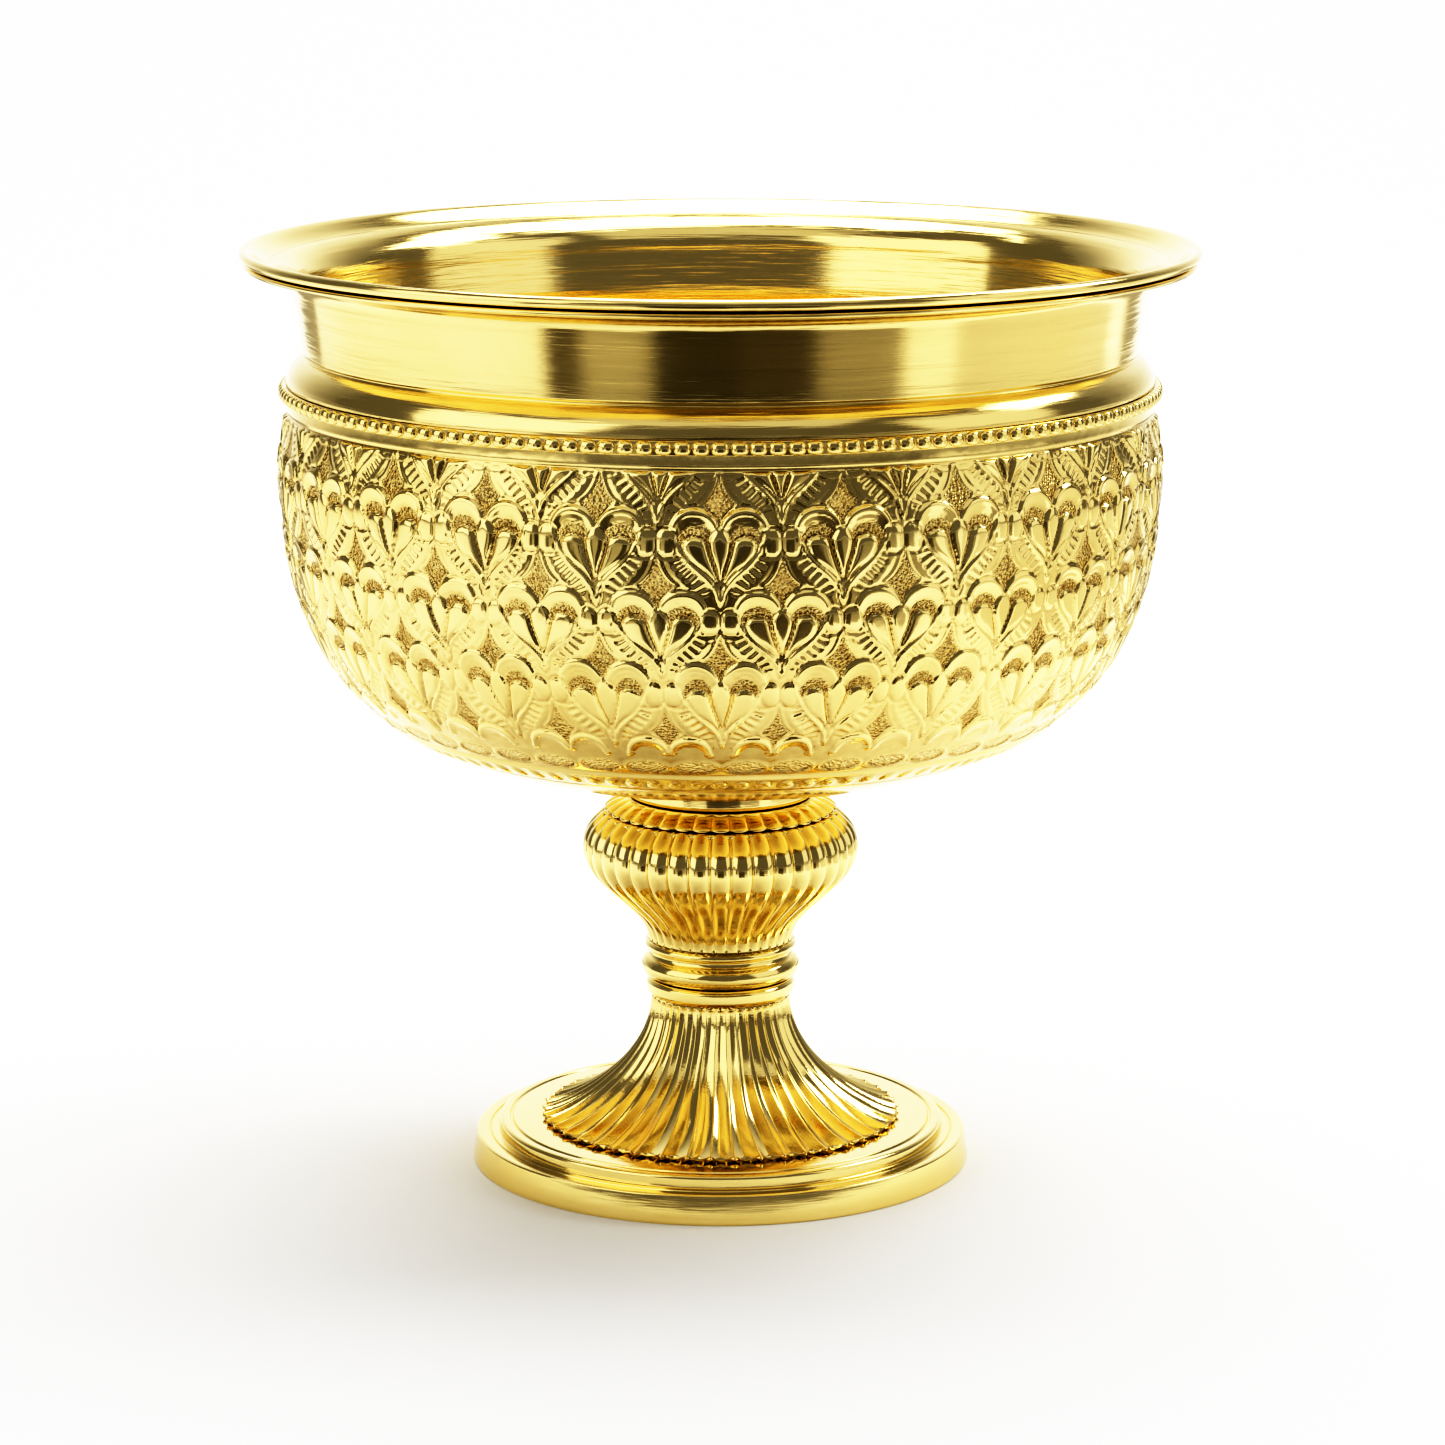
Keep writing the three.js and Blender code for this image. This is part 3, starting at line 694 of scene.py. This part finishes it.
def lobed(name, outside, depths, inside_line):
    """A turned piece with lobes on its outside and a plain inside."""
    outline = np.vstack([outside, inside_line])
    depths = np.concatenate([depths, np.zeros(len(inside_line))])
    columns = LOBES * LOBE_COLUMNS
    return revolve(name, outline, columns, lobe_relief(columns, depths))


def knop_outside():
    radius, low, high = box_of("knop")
    throat = box_of("collar_ring")[0] - 1.9
    widest = low + 25.6
    seam = radius - 5.7
    lower = bezier((throat, low), (throat, low + 9.8), (radius, widest - 10.5), (radius, widest), 44)
    upper = bezier((radius, widest), (radius, widest + 6.3), (seam + 2.2, high - 2.2), (seam, high), 22)
    return np.vstack([lower, upper[1:]])


def build_knop(material):
    """Gadrooned bulb with a hollow inside."""
    radius, low, high = box_of("knop")
    outside = knop_outside()
    depths = 0.55 + 0.75 * smooth(outside[:, 0], 19, 36)
    mouth = outside[-1][0] - 6
    hollow = [
        (mouth, high),
        (mouth, high - 4),
        (radius - 4, high - 11),
        (radius - 4.5, low + 22),
        (18.0, low + 6),
        (15.5, low + 3),
        (ROD_BORE, low + 3),
        (ROD_BORE, low),
    ]
    obj = lobed("knop_bulb", outside, depths, hollow)
    return finish_piece(obj, material, "brass_polished", "knop")


def build_cap(material):
    """Shallow domed cap that carries the lobes on to the seat of the bowl."""
    edge, low, high = box_of("knop_cap")
    top = box_of("seat_ring")[0] - 0.8
    lip = bezier((edge - 0.5, low), (edge + 0.1, low + 0.1), (edge, low + 0.7), (edge - 0.6, low + 1.2), 8)
    dome = bezier((edge - 0.6, low + 1.2), (edge - 2.6, low + 2.9), (top + 2.4, high - 0.6), (top, high), 16)
    outside = np.vstack([lip, dome[1:]])
    depths = 0.75 * smooth(outside[:, 0], top, edge - 1.5)
    hollow = [(ROD_BORE, high), (ROD_BORE, high - 2.4), (edge - 8, high - 2.4), (edge - 6, low)]
    obj = lobed("knop_cap_dome", outside, depths, hollow)
    return finish_piece(obj, material, "brass_polished", "knop_cap")


# ---- foot

def flute_turn(columns, outline):
    """Angle of each point of the foot, with the pleats wandering a little as hand work does."""
    turn = turns_of(columns)
    height = outline[None, :, 1]
    sway = 0.010 * np.sin(4 * turn + 0.16 * height) + 0.007 * np.sin(11 * turn - 0.23 * height + 1.0)
    return turn + sway * smooth(height, 44, 30)


def flute_relief(columns, depths):
    """Sharp pleats: a ridge, a long slope to one side and a shorter one to the other."""
    phase = np.mod(np.arange(columns) * FLUTES / columns, 1.0)
    ridge = 0.56
    rising = phase / ridge
    falling = (1 - phase) / (1 - ridge)
    section = np.minimum(rising, falling)
    section = section - 0.10 * np.sin(math.pi * section)
    return (section[:, None] - 1) * depths[None, :]


def foot_outside():
    radius, low, high = box_of("flared_foot")
    throat = box_of("foot_ferrule")[0] - 1.4
    hem = low + 1.2
    return bezier((radius, hem), (radius - 11, hem + 2.2), (throat, high - 18), (throat, high), 64)


def build_foot(material):
    """Trumpet foot with its pleats, scalloped hem and hollow underside."""
    radius, low, high = box_of("flared_foot")
    skirt = foot_outside()
    depths = 0.70 + 0.62 * smooth(skirt[:, 0], 20, 46)
    lining = (skirt - normals_of(skirt) * 2.2)[6:52:3][::-1]
    closing = np.array([(ROD_BORE, high), (ROD_BORE, high - 3), (skirt[-1][0] - 3.4, high - 3)])
    hem_inside = np.array([(radius - 6.5, low), (radius - 0.9, low), (radius - 0.2, low + 0.35)])
    outline = np.vstack([skirt, closing, lining, hem_inside])
    zeros = np.zeros(len(closing) + len(lining) + 1)
    depths = np.concatenate([depths, zeros, [1.2, 1.5]])
    columns = FLUTES * FLUTE_COLUMNS
    turn = flute_turn(columns, outline)
    obj = revolve("fluted_foot", outline, columns, flute_relief(columns, depths), turn)
    return finish_piece(obj, material, "brass_polished", "flared_foot")


# ---- plain turned rings

BASE_HOLE = 38                # radius of the hole under the foot, in mm


def build_base(material):
    """Turned base: band, ledge, raised step, scribed groove, and the mirror-bright flat round the foot."""
    radius, low, high = box_of("base_plate")
    step = radius - 7.3
    ledge = high - 3.4
    groove = step - 2.6
    outline = rounded([
        (radius - 0.3, low, 0.25),
        (radius - 0.05, low + 0.5, 0.4),
        (radius - 1.05, ledge - 0.2, 0.75),
        (radius - 1.7, ledge, 0.4),
        (radius - 4.3, ledge, 0.12),
        (radius - 4.55, ledge - 0.45, 0.08),
        (radius - 4.85, ledge - 0.45, 0.08),
        (radius - 5.1, ledge, 0.12),
        (step + 0.15, ledge, 0.35),
        (step, high, 1.1),
        (groove, high - 0.05, 0.25),
        (groove - 0.35, high - 0.6, 0.15),
        (groove - 0.85, high - 0.6, 0.15),
        (groove - 1.2, high, 0.25),
        (groove - 9.5, high - 0.02, 0.3),
        (BASE_HOLE, high, 0.3),
        (BASE_HOLE, high - 3.2, 0.3),
        (groove, high - 3.2, 1.0),
        (radius - 4.2, ledge - 3.2, 0.8),
        (radius - 4.2, low, 0.25),
    ])
    obj = revolve("base_ring", outline, WIDE_COLUMNS)
    return finish_piece(obj, material, "brass_brushed", "base_plate")


def plain_ring(name, node, corners, material, slot, columns=RING_COLUMNS):
    """A turned ring whose corners are set in from its CAD node's radius, and up from its lowest level."""
    radius, low, _ = box_of(node)
    outline = rounded([
        (radius - inset if inset >= 0 else ROD_BORE, low + rise, turn)
        for inset, rise, turn in corners
    ])
    return finish_piece(revolve(name, outline, columns), material, slot, node)


BORE = -1                     # marks a corner on the bore of the tie rod


def build_stem_rings(material):
    plain_ring("ferrule_band", "foot_ferrule", [
        (BORE, 0, 0.1), (1.0, 0, 0.3), (0, 0.9, 0.9), (0, 3.4, 0.9), (0.9, 4.4, 0.4), (BORE, 4.4, 0.1),
    ], material, "brass_polished")
    plain_ring("seat_band", "seat_ring", [
        (BORE, 0, 0.1), (0.6, 0, 0.3), (0, 0.9, 0.8), (0, 4.2, 0.8), (0.6, 5.1, 0.3), (BORE, 5.1, 0.1),
    ], material, "brass_polished")
    radius, low, high = box_of("collar_ring")
    minor = 3.1
    torus = arc_line((radius - minor, low + minor), minor, -88, 72, 30)
    waist = (radius - 2.3, low + 7.4)
    lip = radius - 1.2
    upper = rounded_open([tuple(torus[-1]), waist, (lip, high - 1.4), (lip, high)], 0.5)
    outline = np.vstack([[(ROD_BORE, low)], torus, upper[1:], [(ROD_BORE, high)]])
    obj = revolve("collar_torus", anticlockwise(outline), RING_COLUMNS)
    return finish_piece(obj, material, "brass_polished", "collar_ring")


def rounded_open(points, radius):
    """An open polyline with its inner corners rounded."""
    arcs = [np.array([points[0]])]
    for before, corner, after in zip(points, points[1:], points[2:]):
        arcs.append(fillet(before, corner, after, radius))
    arcs.append(np.array([points[-1]]))
    return np.vstack(arcs)


def build_gasket(material):
    plain_ring("gasket_disc", "floor_gasket", [
        (BORE, 0, 0.1), (0, 0, 0.4), (0, 1.3, 0.4), (BORE, 1.3, 0.1),
    ], material, "gasket", WASHER_COLUMNS)


# ---- fastenings

M8_PITCH = 1.25
M8_FLATS = 13                 # across the flats of an M8 nut, in mm


def thread_ring(name, radius, low, high, pitch, columns=48):
    """A threaded rod: rings of crests that climb one pitch in each turn, closed by its two ends."""
    per_turn = 6
    levels = np.arange(low + 0.8, high - 0.8, pitch / per_turn)
    crest = np.cos(2 * math.pi * levels[None, :] / pitch - turns_of(columns))
    threaded = radius - 0.28 + 0.28 * crest
    ends = [(0.02, low), (radius - 0.9, low)]
    tops = [(radius - 0.9, high), (0.02, high)]
    outline = np.vstack([ends, np.column_stack([np.full(len(levels), radius), levels]), tops])
    relief = np.zeros((columns, len(outline)))
    relief[:, 2:-2] = threaded - radius
    return revolve(name, outline, columns, relief)


def hex_radius(columns, flats):
    """Radius of a hexagon at each column, with its edges eased."""
    fold = np.mod(turns_of(columns) + math.pi / 6, math.pi / 3) - math.pi / 6
    return np.minimum(flats / 2 / np.cos(fold), flats / 2 / math.cos(math.pi / 6) - 0.12)


def hex_ring(name, flats, low, high, dome):
    """A hexagonal nut with chamfered corners, and a dome on it where it is an acorn nut."""
    columns = 144
    hexagon = hex_radius(columns, flats)
    body = [
        (ROD_BORE, low),
        (flats / 2 - 0.2, low),
        (flats / 2, low + 0.5),
        (flats / 2, high - 0.5),
        (flats / 2 - 0.3, high),
    ]
    swell = [0, 0, 1, 1, 0]
    if dome:
        radius = flats / 2 - 0.5
        turn = np.radians(np.linspace(4, 89, 18))
        arc = [(radius * math.cos(a), high + 0.2 + dome * math.sin(a)) for a in turn]
        body += [(radius + 0.05, high)] + arc + [(0.02, high - 0.5), (ROD_BORE, high - 1)]
    else:
        body += [(ROD_BORE + 0.4, high), (ROD_BORE, high - 0.4)]
    swell += [0] * (len(body) - len(swell))
    relief = (hexagon - flats / 2) * np.array(swell, float)[None, :]
    return revolve(name, np.array(body, float), columns, relief)


def build_fastenings(brass, steel):
    radius, low, high = box_of("tie_rod")
    rod = thread_ring("threaded_rod", radius, low, high, M8_PITCH)
    finish_piece(rod, steel, "steel", "tie_rod")
    _, low, high = box_of("hex_nut")
    finish_piece(hex_ring("lock_nut", M8_FLATS, low, high, 0), steel, "steel", "hex_nut")
    _, low, high = box_of("dome_nut")
    acorn = hex_ring("acorn_nut", M8_FLATS, low, high - 6, 5.7)
    finish_piece(acorn, brass, "brass_polished", "dome_nut")
    washer = [(BORE, 0, 0.1), (0.1, 0, 0.3), (0, 0.3, 0.3), (0, 1.3, 0.3), (0.3, 1.6, 0.3), (BORE, 1.6, 0.2)]
    plain_ring("crown_disc", "crown_washer", washer, brass, "brass_polished", WASHER_COLUMNS)
    plain_ring("foot_disc", "foot_washer", washer, steel, "steel", WASHER_COLUMNS)
    build_spring(steel)


def build_spring(material):
    """Split spring washer: a square section swept round one turn with a gap and a slight rise."""
    radius, low, high = box_of("spring_washer")
    steps = 96
    turn = np.radians(np.linspace(-83, 263, steps))
    rise = np.linspace(-0.2, 0.2, steps)
    section = rounded([
        (ROD_BORE + 0.1, low + 0.25, 0.2),
        (radius - 0.05, low + 0.25, 0.2),
        (radius - 0.05, high - 0.25, 0.2),
        (ROD_BORE + 0.1, high - 0.25, 0.2),
    ])
    count = len(section)
    r = np.broadcast_to(section[None, :, 0], (steps, count))
    z = section[None, :, 1] + rise[:, None]
    points = np.stack([r * np.sin(turn)[:, None], -r * np.cos(turn)[:, None], z], axis=-1).reshape(-1, 3)
    k = np.arange(1, count // 2)
    first = np.column_stack([k - 1, k, count - 1 - k, (count - k) % count])
    last = first[:, ::-1] + (steps - 1) * count
    quads = np.vstack([grid_quads(steps, count, ring=False), first, last])
    obj = mesh_object("split_washer", points, quads)
    return finish_piece(obj, material, "steel", "spring_washer")


# ---- materials

class Nodes:
    """Short names for wiring a material's nodes."""

    def __init__(self, name, metallic=0.0):
        self.material = bpy.data.materials.new(name)
        self.material.use_nodes = True
        self.tree = self.material.node_tree
        self.shader = self.tree.nodes["Principled BSDF"]
        self.shader.inputs["Metallic"].default_value = metallic

    def add(self, kind, **settings):
        """A node with its properties, and its sockets' values, set by name."""
        node = self.tree.nodes.new(kind)
        for key, value in settings.items():
            if hasattr(node, key):
                setattr(node, key, value)
            else:
                node.inputs[key.replace("_", " ")].default_value = value
        return node

    def link(self, source, target):
        self.tree.links.new(source, target)

    def drive(self, socket, source):
        """Wires a socket of the shader."""
        self.link(source, self.shader.inputs[socket])

    def noise(self, coordinates, scale, detail=3.0, roughness=0.5):
        node = self.add("ShaderNodeTexNoise", Scale=scale, Detail=detail, Roughness=roughness)
        self.link(coordinates, node.inputs["Vector"])
        return node.outputs["Fac"]

    def spread(self, source, to_low, to_high, low=0.3, high=0.7):
        """The source spread over a new range. Noise mostly runs from 0.3 to 0.7."""
        node = self.add("ShaderNodeMapRange", From_Min=low, From_Max=high, To_Min=to_low, To_Max=to_high)
        self.link(source, node.inputs["Value"])
        return node.outputs["Result"]

    def math(self, operation, a, b=0.0):
        node = self.add("ShaderNodeMath", operation=operation)
        for socket, value in zip(node.inputs, (a, b)):
            if isinstance(value, (int, float)):
                socket.default_value = value
            else:
                self.link(value, socket)
        return node.outputs["Value"]

    def stretched(self, coordinates, scale):
        node = self.add("ShaderNodeMapping", Scale=scale)
        self.link(coordinates, node.inputs["Vector"])
        return node.outputs["Vector"]

    def ramp(self, source, low, high, places=(0.0, 1.0)):
        """A colour that runs from low to high while the source runs between two places."""
        node = self.add("ShaderNodeValToRGB")
        for element, place, colour in zip(node.color_ramp.elements, places, (low, high)):
            element.position = place
            element.color = (*colour, 1)
        self.link(source, node.inputs["Fac"])
        return node.outputs["Color"]

    def bump(self, height, strength, distance, before=None):
        node = self.add("ShaderNodeBump", Strength=strength, Distance=distance)
        self.link(height, node.inputs["Height"])
        if before is not None:
            self.link(before, node.inputs["Normal"])
        return node.outputs["Normal"]


def turned_coordinates(nodes):
    """Coordinates that follow the lathe: angle round the axis, radius and height."""
    place = nodes.add("ShaderNodeTexCoord").outputs["Object"]
    split = nodes.add("ShaderNodeSeparateXYZ")
    nodes.link(place, split.inputs["Vector"])
    angle = nodes.math("ARCTAN2", split.outputs["Y"], split.outputs["X"])
    square_x = nodes.math("MULTIPLY", split.outputs["X"], split.outputs["X"])
    square_y = nodes.math("MULTIPLY", split.outputs["Y"], split.outputs["Y"])
    radius = nodes.math("SQRT", nodes.math("ADD", square_x, square_y))
    lathe = nodes.add("ShaderNodeCombineXYZ")
    nodes.link(nodes.math("MULTIPLY", angle, 0.05), lathe.inputs["X"])
    nodes.link(radius, lathe.inputs["Y"])
    nodes.link(split.outputs["Z"], lathe.inputs["Z"])
    return place, lathe.outputs["Vector"]


BRIGHT_BRASS = (0.93, 0.755, 0.355)
DEEP_BRASS = (0.89, 0.705, 0.30)
TARNISH = (0.36, 0.19, 0.03)


def brass_colour(nodes, place):
    """Brass that varies slowly between a bright and a deeper tone."""
    slow = nodes.noise(place, 22.0, 4.0, 0.6)
    return nodes.ramp(slow, DEEP_BRASS, BRIGHT_BRASS, (0.32, 0.68))


def brushed_brass(name, depth):
    """Lathe-brushed brass: lines round the axis as deep as asked, with a soft uneven polish."""
    nodes = Nodes(name, metallic=1.0)
    place, lathe = turned_coordinates(nodes)
    nodes.drive("Base Color", brass_colour(nodes, place))
    fine = nodes.noise(nodes.stretched(lathe, (60, 2600, 2600)), 1.0, 3.0, 0.65)
    broad = nodes.noise(nodes.stretched(lathe, (30, 420, 420)), 1.0, 2.0, 0.5)
    patch = nodes.noise(place, 30.0, 3.0, 0.6)
    polish = nodes.spread(patch, 0.07, 0.13)
    nodes.drive("Roughness", nodes.math("ADD", nodes.spread(fine, 0.0, 0.05), polish))
    waves = nodes.noise(nodes.stretched(lathe, (14, 150, 150)), 1.0, 4.0, 0.7)
    lines = nodes.bump(fine, 0.10 * depth, 0.0003)
    lines = nodes.bump(broad, 0.10 * depth, 0.0008, lines)
    nodes.drive("Normal", nodes.bump(waves, 0.11 * depth, 0.0030, lines))
    return nodes.material


def polished_brass():
    """Cast and buffed brass with a faint ripple."""
    nodes = Nodes("polished_brass", metallic=1.0)
    place, lathe = turned_coordinates(nodes)
    nodes.drive("Base Color", brass_colour(nodes, place))
    patch = nodes.noise(place, 60.0, 4.0, 0.6)
    nodes.drive("Roughness", nodes.spread(patch, 0.07, 0.15))
    ripple = nodes.noise(place, 130.0, 2.0, 0.5)
    lines = nodes.noise(nodes.stretched(lathe, (80, 1500, 1500)), 1.0, 2.0, 0.6)
    nodes.drive("Normal", nodes.bump(lines, 0.08, 0.0003, nodes.bump(ripple, 0.10, 0.0006)))
    return nodes.material


def chased_brass():
    """Chased and buffed brass: stippled grounds scatter light, and hollows hold tarnish."""
    nodes = Nodes("chased_brass", metallic=1.0)
    place, _ = turned_coordinates(nodes)
    stipple = nodes.add("ShaderNodeAttribute", attribute_name="stipple").outputs["Fac"]
    hollow = nodes.add("ShaderNodeAttribute", attribute_name="hollow").outputs["Fac"]
    mix = nodes.add("ShaderNodeMix", data_type="RGBA")
    grime = nodes.spread(nodes.noise(place, 420.0, 3.0, 0.6), 0.15, 0.6)
    nodes.link(nodes.math("MULTIPLY", hollow, grime), mix.inputs["Factor"])
    nodes.link(brass_colour(nodes, place), mix.inputs["A"])
    mix.inputs["B"].default_value = (*TARNISH, 1)
    nodes.drive("Base Color", mix.outputs["Result"])
    polish = nodes.spread(nodes.noise(place, 90.0), 0.09, 0.17)
    nodes.drive("Roughness", nodes.math("ADD", nodes.spread(stipple, 0.0, 0.14, 0, 1), polish))
    cells = nodes.add("ShaderNodeTexVoronoi", feature="F1", Scale=1150.0)
    nodes.link(place, cells.inputs["Vector"])
    dots = nodes.math("MULTIPLY", cells.outputs["Distance"], stipple)
    hammer = nodes.noise(place, 170.0, 2.0, 0.5)
    nodes.drive("Normal", nodes.bump(hammer, 0.12, 0.0007, nodes.bump(dots, 1.0, 0.0006)))
    return nodes.material


def zinc_steel():
    nodes = Nodes("zinc_steel", metallic=1.0)
    place, lathe = turned_coordinates(nodes)
    spangle = nodes.noise(place, 260.0, 4.0, 0.6)
    nodes.drive("Base Color", nodes.ramp(spangle, (0.42, 0.43, 0.45), (0.66, 0.67, 0.68)))
    lines = nodes.noise(nodes.stretched(lathe, (90, 1800, 1800)), 1.0, 2.0, 0.6)
    nodes.drive("Roughness", nodes.spread(lines, 0.24, 0.40))
    nodes.drive("Normal", nodes.bump(lines, 0.15, 0.0003))
    return nodes.material


def black_rubber():
    nodes = Nodes("black_rubber")
    place, _ = turned_coordinates(nodes)
    grain = nodes.noise(place, 900.0, 3.0, 0.6)
    nodes.drive("Base Color", nodes.ramp(grain, (0.012, 0.011, 0.010), (0.035, 0.032, 0.030)))
    nodes.drive("Roughness", nodes.spread(grain, 0.6, 0.85))
    nodes.drive("Normal", nodes.bump(grain, 0.3, 0.0003))
    return nodes.material


# ---- studio

def stage_material(name, colour):
    nodes = Nodes(name)
    nodes.shader.inputs["Base Color"].default_value = (*colour, 1)
    nodes.shader.inputs["Roughness"].default_value = 0.9
    nodes.shader.inputs["Specular IOR Level"].default_value = 0.1
    return nodes.material


def sweep(material):
    """Pale paper sweep: flat on the table, curving up behind."""
    flat = [(-4.0, 0.0), (1.1, 0.0)]
    bend = bezier((1.1, 0.0), (1.9, 0.0), (2.3, 0.4), (2.3, 1.2), 30)
    wall = [(2.3, 2.6)]
    line = np.vstack([flat, bend[1:], wall]) / MM
    columns = np.array([-4.0, 4.0]) / MM
    points = np.array([(x, y, z) for x in columns for y, z in line])
    count = len(line)
    j = np.arange(count - 1)
    quads = np.column_stack([j, j + count, j + count + 1, j + 1])
    obj = mesh_object("paper_sweep", points, quads)
    obj.data.materials.append(material)
    return obj


CARD_LIFT = 0.002             # metres between a card and the floor


def flag(name, colour, from_angle, to_angle, near, far):
    """A card low round the bowl, between two angles, that only shows in the metal's reflections."""
    turn = np.radians([from_angle, to_angle, to_angle, from_angle])
    reach = np.array([near, near, far, far])
    points = np.column_stack([reach * np.sin(turn), -reach * np.cos(turn), np.full(4, CARD_LIFT)])
    obj = mesh_object(name, points / MM, np.array([[0, 3, 2, 1]]))
    obj.data.materials.append(stage_material(name, colour))
    obj.visible_camera = False
    obj.visible_shadow = False
    obj.visible_diffuse = False


def area_light(name, place, target, size, radiance):
    """A rectangular softbox that faces a point, with its brightness as its face shows it."""
    data = bpy.data.lights.new(name, "AREA")
    data.shape = "RECTANGLE"
    data.size, data.size_y = size
    data.energy = radiance * math.pi * size[0] * size[1]
    obj = bpy.data.objects.new(name, data)
    obj.location = place
    obj.rotation_mode = "QUATERNION"
    obj.rotation_quaternion = (Vector(place) - Vector(target)).to_track_quat("Z", "Y")
    bpy.context.scene.collection.objects.link(obj)


def build_world(colour, strength):
    world = bpy.data.worlds.new("room")
    world.use_nodes = True
    background = world.node_tree.nodes["Background"]
    background.inputs["Color"].default_value = (*colour, 1)
    background.inputs["Strength"].default_value = strength
    bpy.context.scene.world = world


CAMERA_BACK = 1.2811          # metres in front of the bowl's axis
CAMERA_HEIGHT = 0.3850
CAMERA_DOWN = 11.67           # degrees below the horizontal
CAMERA_LENS = 120.83          # mm, on a sensor 36 mm wide
CAMERA_SHIFT = 0.0014


def build_camera():
    data = bpy.data.cameras.new("camera")
    data.sensor_width = 36.0
    data.lens = CAMERA_LENS
    data.shift_x = CAMERA_SHIFT
    obj = bpy.data.objects.new("camera", data)
    obj.location = ((cad_low.x + cad_high.x) / 2, -CAMERA_BACK, CAMERA_HEIGHT)
    obj.rotation_euler = (math.radians(90 - CAMERA_DOWN), 0, 0)
    bpy.context.scene.collection.objects.link(obj)
    bpy.context.scene.camera = obj


def build_studio():
    middle = (0, 0, (cad_low.z + cad_high.z) / 2)
    sweep(stage_material("paper", (0.95, 0.955, 0.96)))
    flag("flag_dark", (0.085, 0.08, 0.07), -17, 5, 0.33, 1.7)
    flag("flag_brown", (0.11, 0.10, 0.085), 5, 24, 0.33, 1.7)
    flag("flag_tan", (0.34, 0.33, 0.31), 24, 47, 0.40, 1.7)
    flag("flag_slip", (0.13, 0.12, 0.10), -45, -35, 0.45, 1.5)
    flag("flag_pale", (0.42, 0.41, 0.38), -35, -17, 0.45, 1.7)
    flag("flag_side", (0.62, 0.61, 0.58), 62, 125, 0.40, 1.7)
    flag("flag_back_right", (0.30, 0.29, 0.26), 136, 160, 0.40, 1.7)
    flag("flag_back_left", (0.30, 0.29, 0.26), -160, -136, 0.40, 1.7)
    area_light("left_box", (-1.25, -0.75, 0.75), middle, (1.5, 1.3), 1.15)
    area_light("right_box", (1.45, -0.45, 0.7), middle, (1.2, 1.2), 0.75)
    area_light("key_box", (1.1, 0.35, 1.25), middle, (0.6, 0.6), 6.0)
    area_light("top_box", (0.1, 0.5, 1.9), middle, (1.8, 1.4), 4.3)
    area_light("front_box", (0.0, -0.9, 1.7), middle, (1.9, 1.2), 0.50)
    area_light("back_box", (0, 0.9, 1.7), (0, 2.3, 0.4), (2.4, 0.8), 3.0)
    build_world((1.0, 0.99, 0.98), 0.21)
    build_camera()
    grade()


CONTRAST = 2.05
MIDDLE_LIGHT = 0.585          # linear light that shows at 63 per cent
BRIGHTEST = 1.6


def shown_light(light):
    """The camera's response: deep shadows, and a shoulder that closes on white."""
    return 1 - math.exp(-(light / MIDDLE_LIGHT) ** CONTRAST)


def grade():
    """Gives the picture the contrast of a product photograph."""
    settings = bpy.context.scene.view_settings
    settings.view_transform = "Standard"
    settings.use_curve_mapping = True
    mapping = settings.curve_mapping
    mapping.white_level = (BRIGHTEST,) * 3
    curve = mapping.curves[3]
    curve.points[-1].location = (1.0, shown_light(BRIGHTEST))
    for share in np.linspace(0, 1, 15)[1:-1] ** 1.5:
        curve.points.new(share, shown_light(share * BRIGHTEST))
    mapping.update()


# ---- assembly

def build_object():
    brushed, buffed = brushed_brass("brushed_brass", 1.0), brushed_brass("buffed_brass", 0.2)
    polished, chased = polished_brass(), chased_brass()
    steel, rubber = zinc_steel(), black_rubber()
    build_wall(chased)
    build_beads(polished)
    build_neck(brushed)
    build_rim(brushed)
    build_knop(polished)
    build_cap(polished)
    build_foot(polished)
    build_base(buffed)
    build_stem_rings(polished)
    build_gasket(rubber)
    build_fastenings(polished, steel)


build_object()
build_studio()
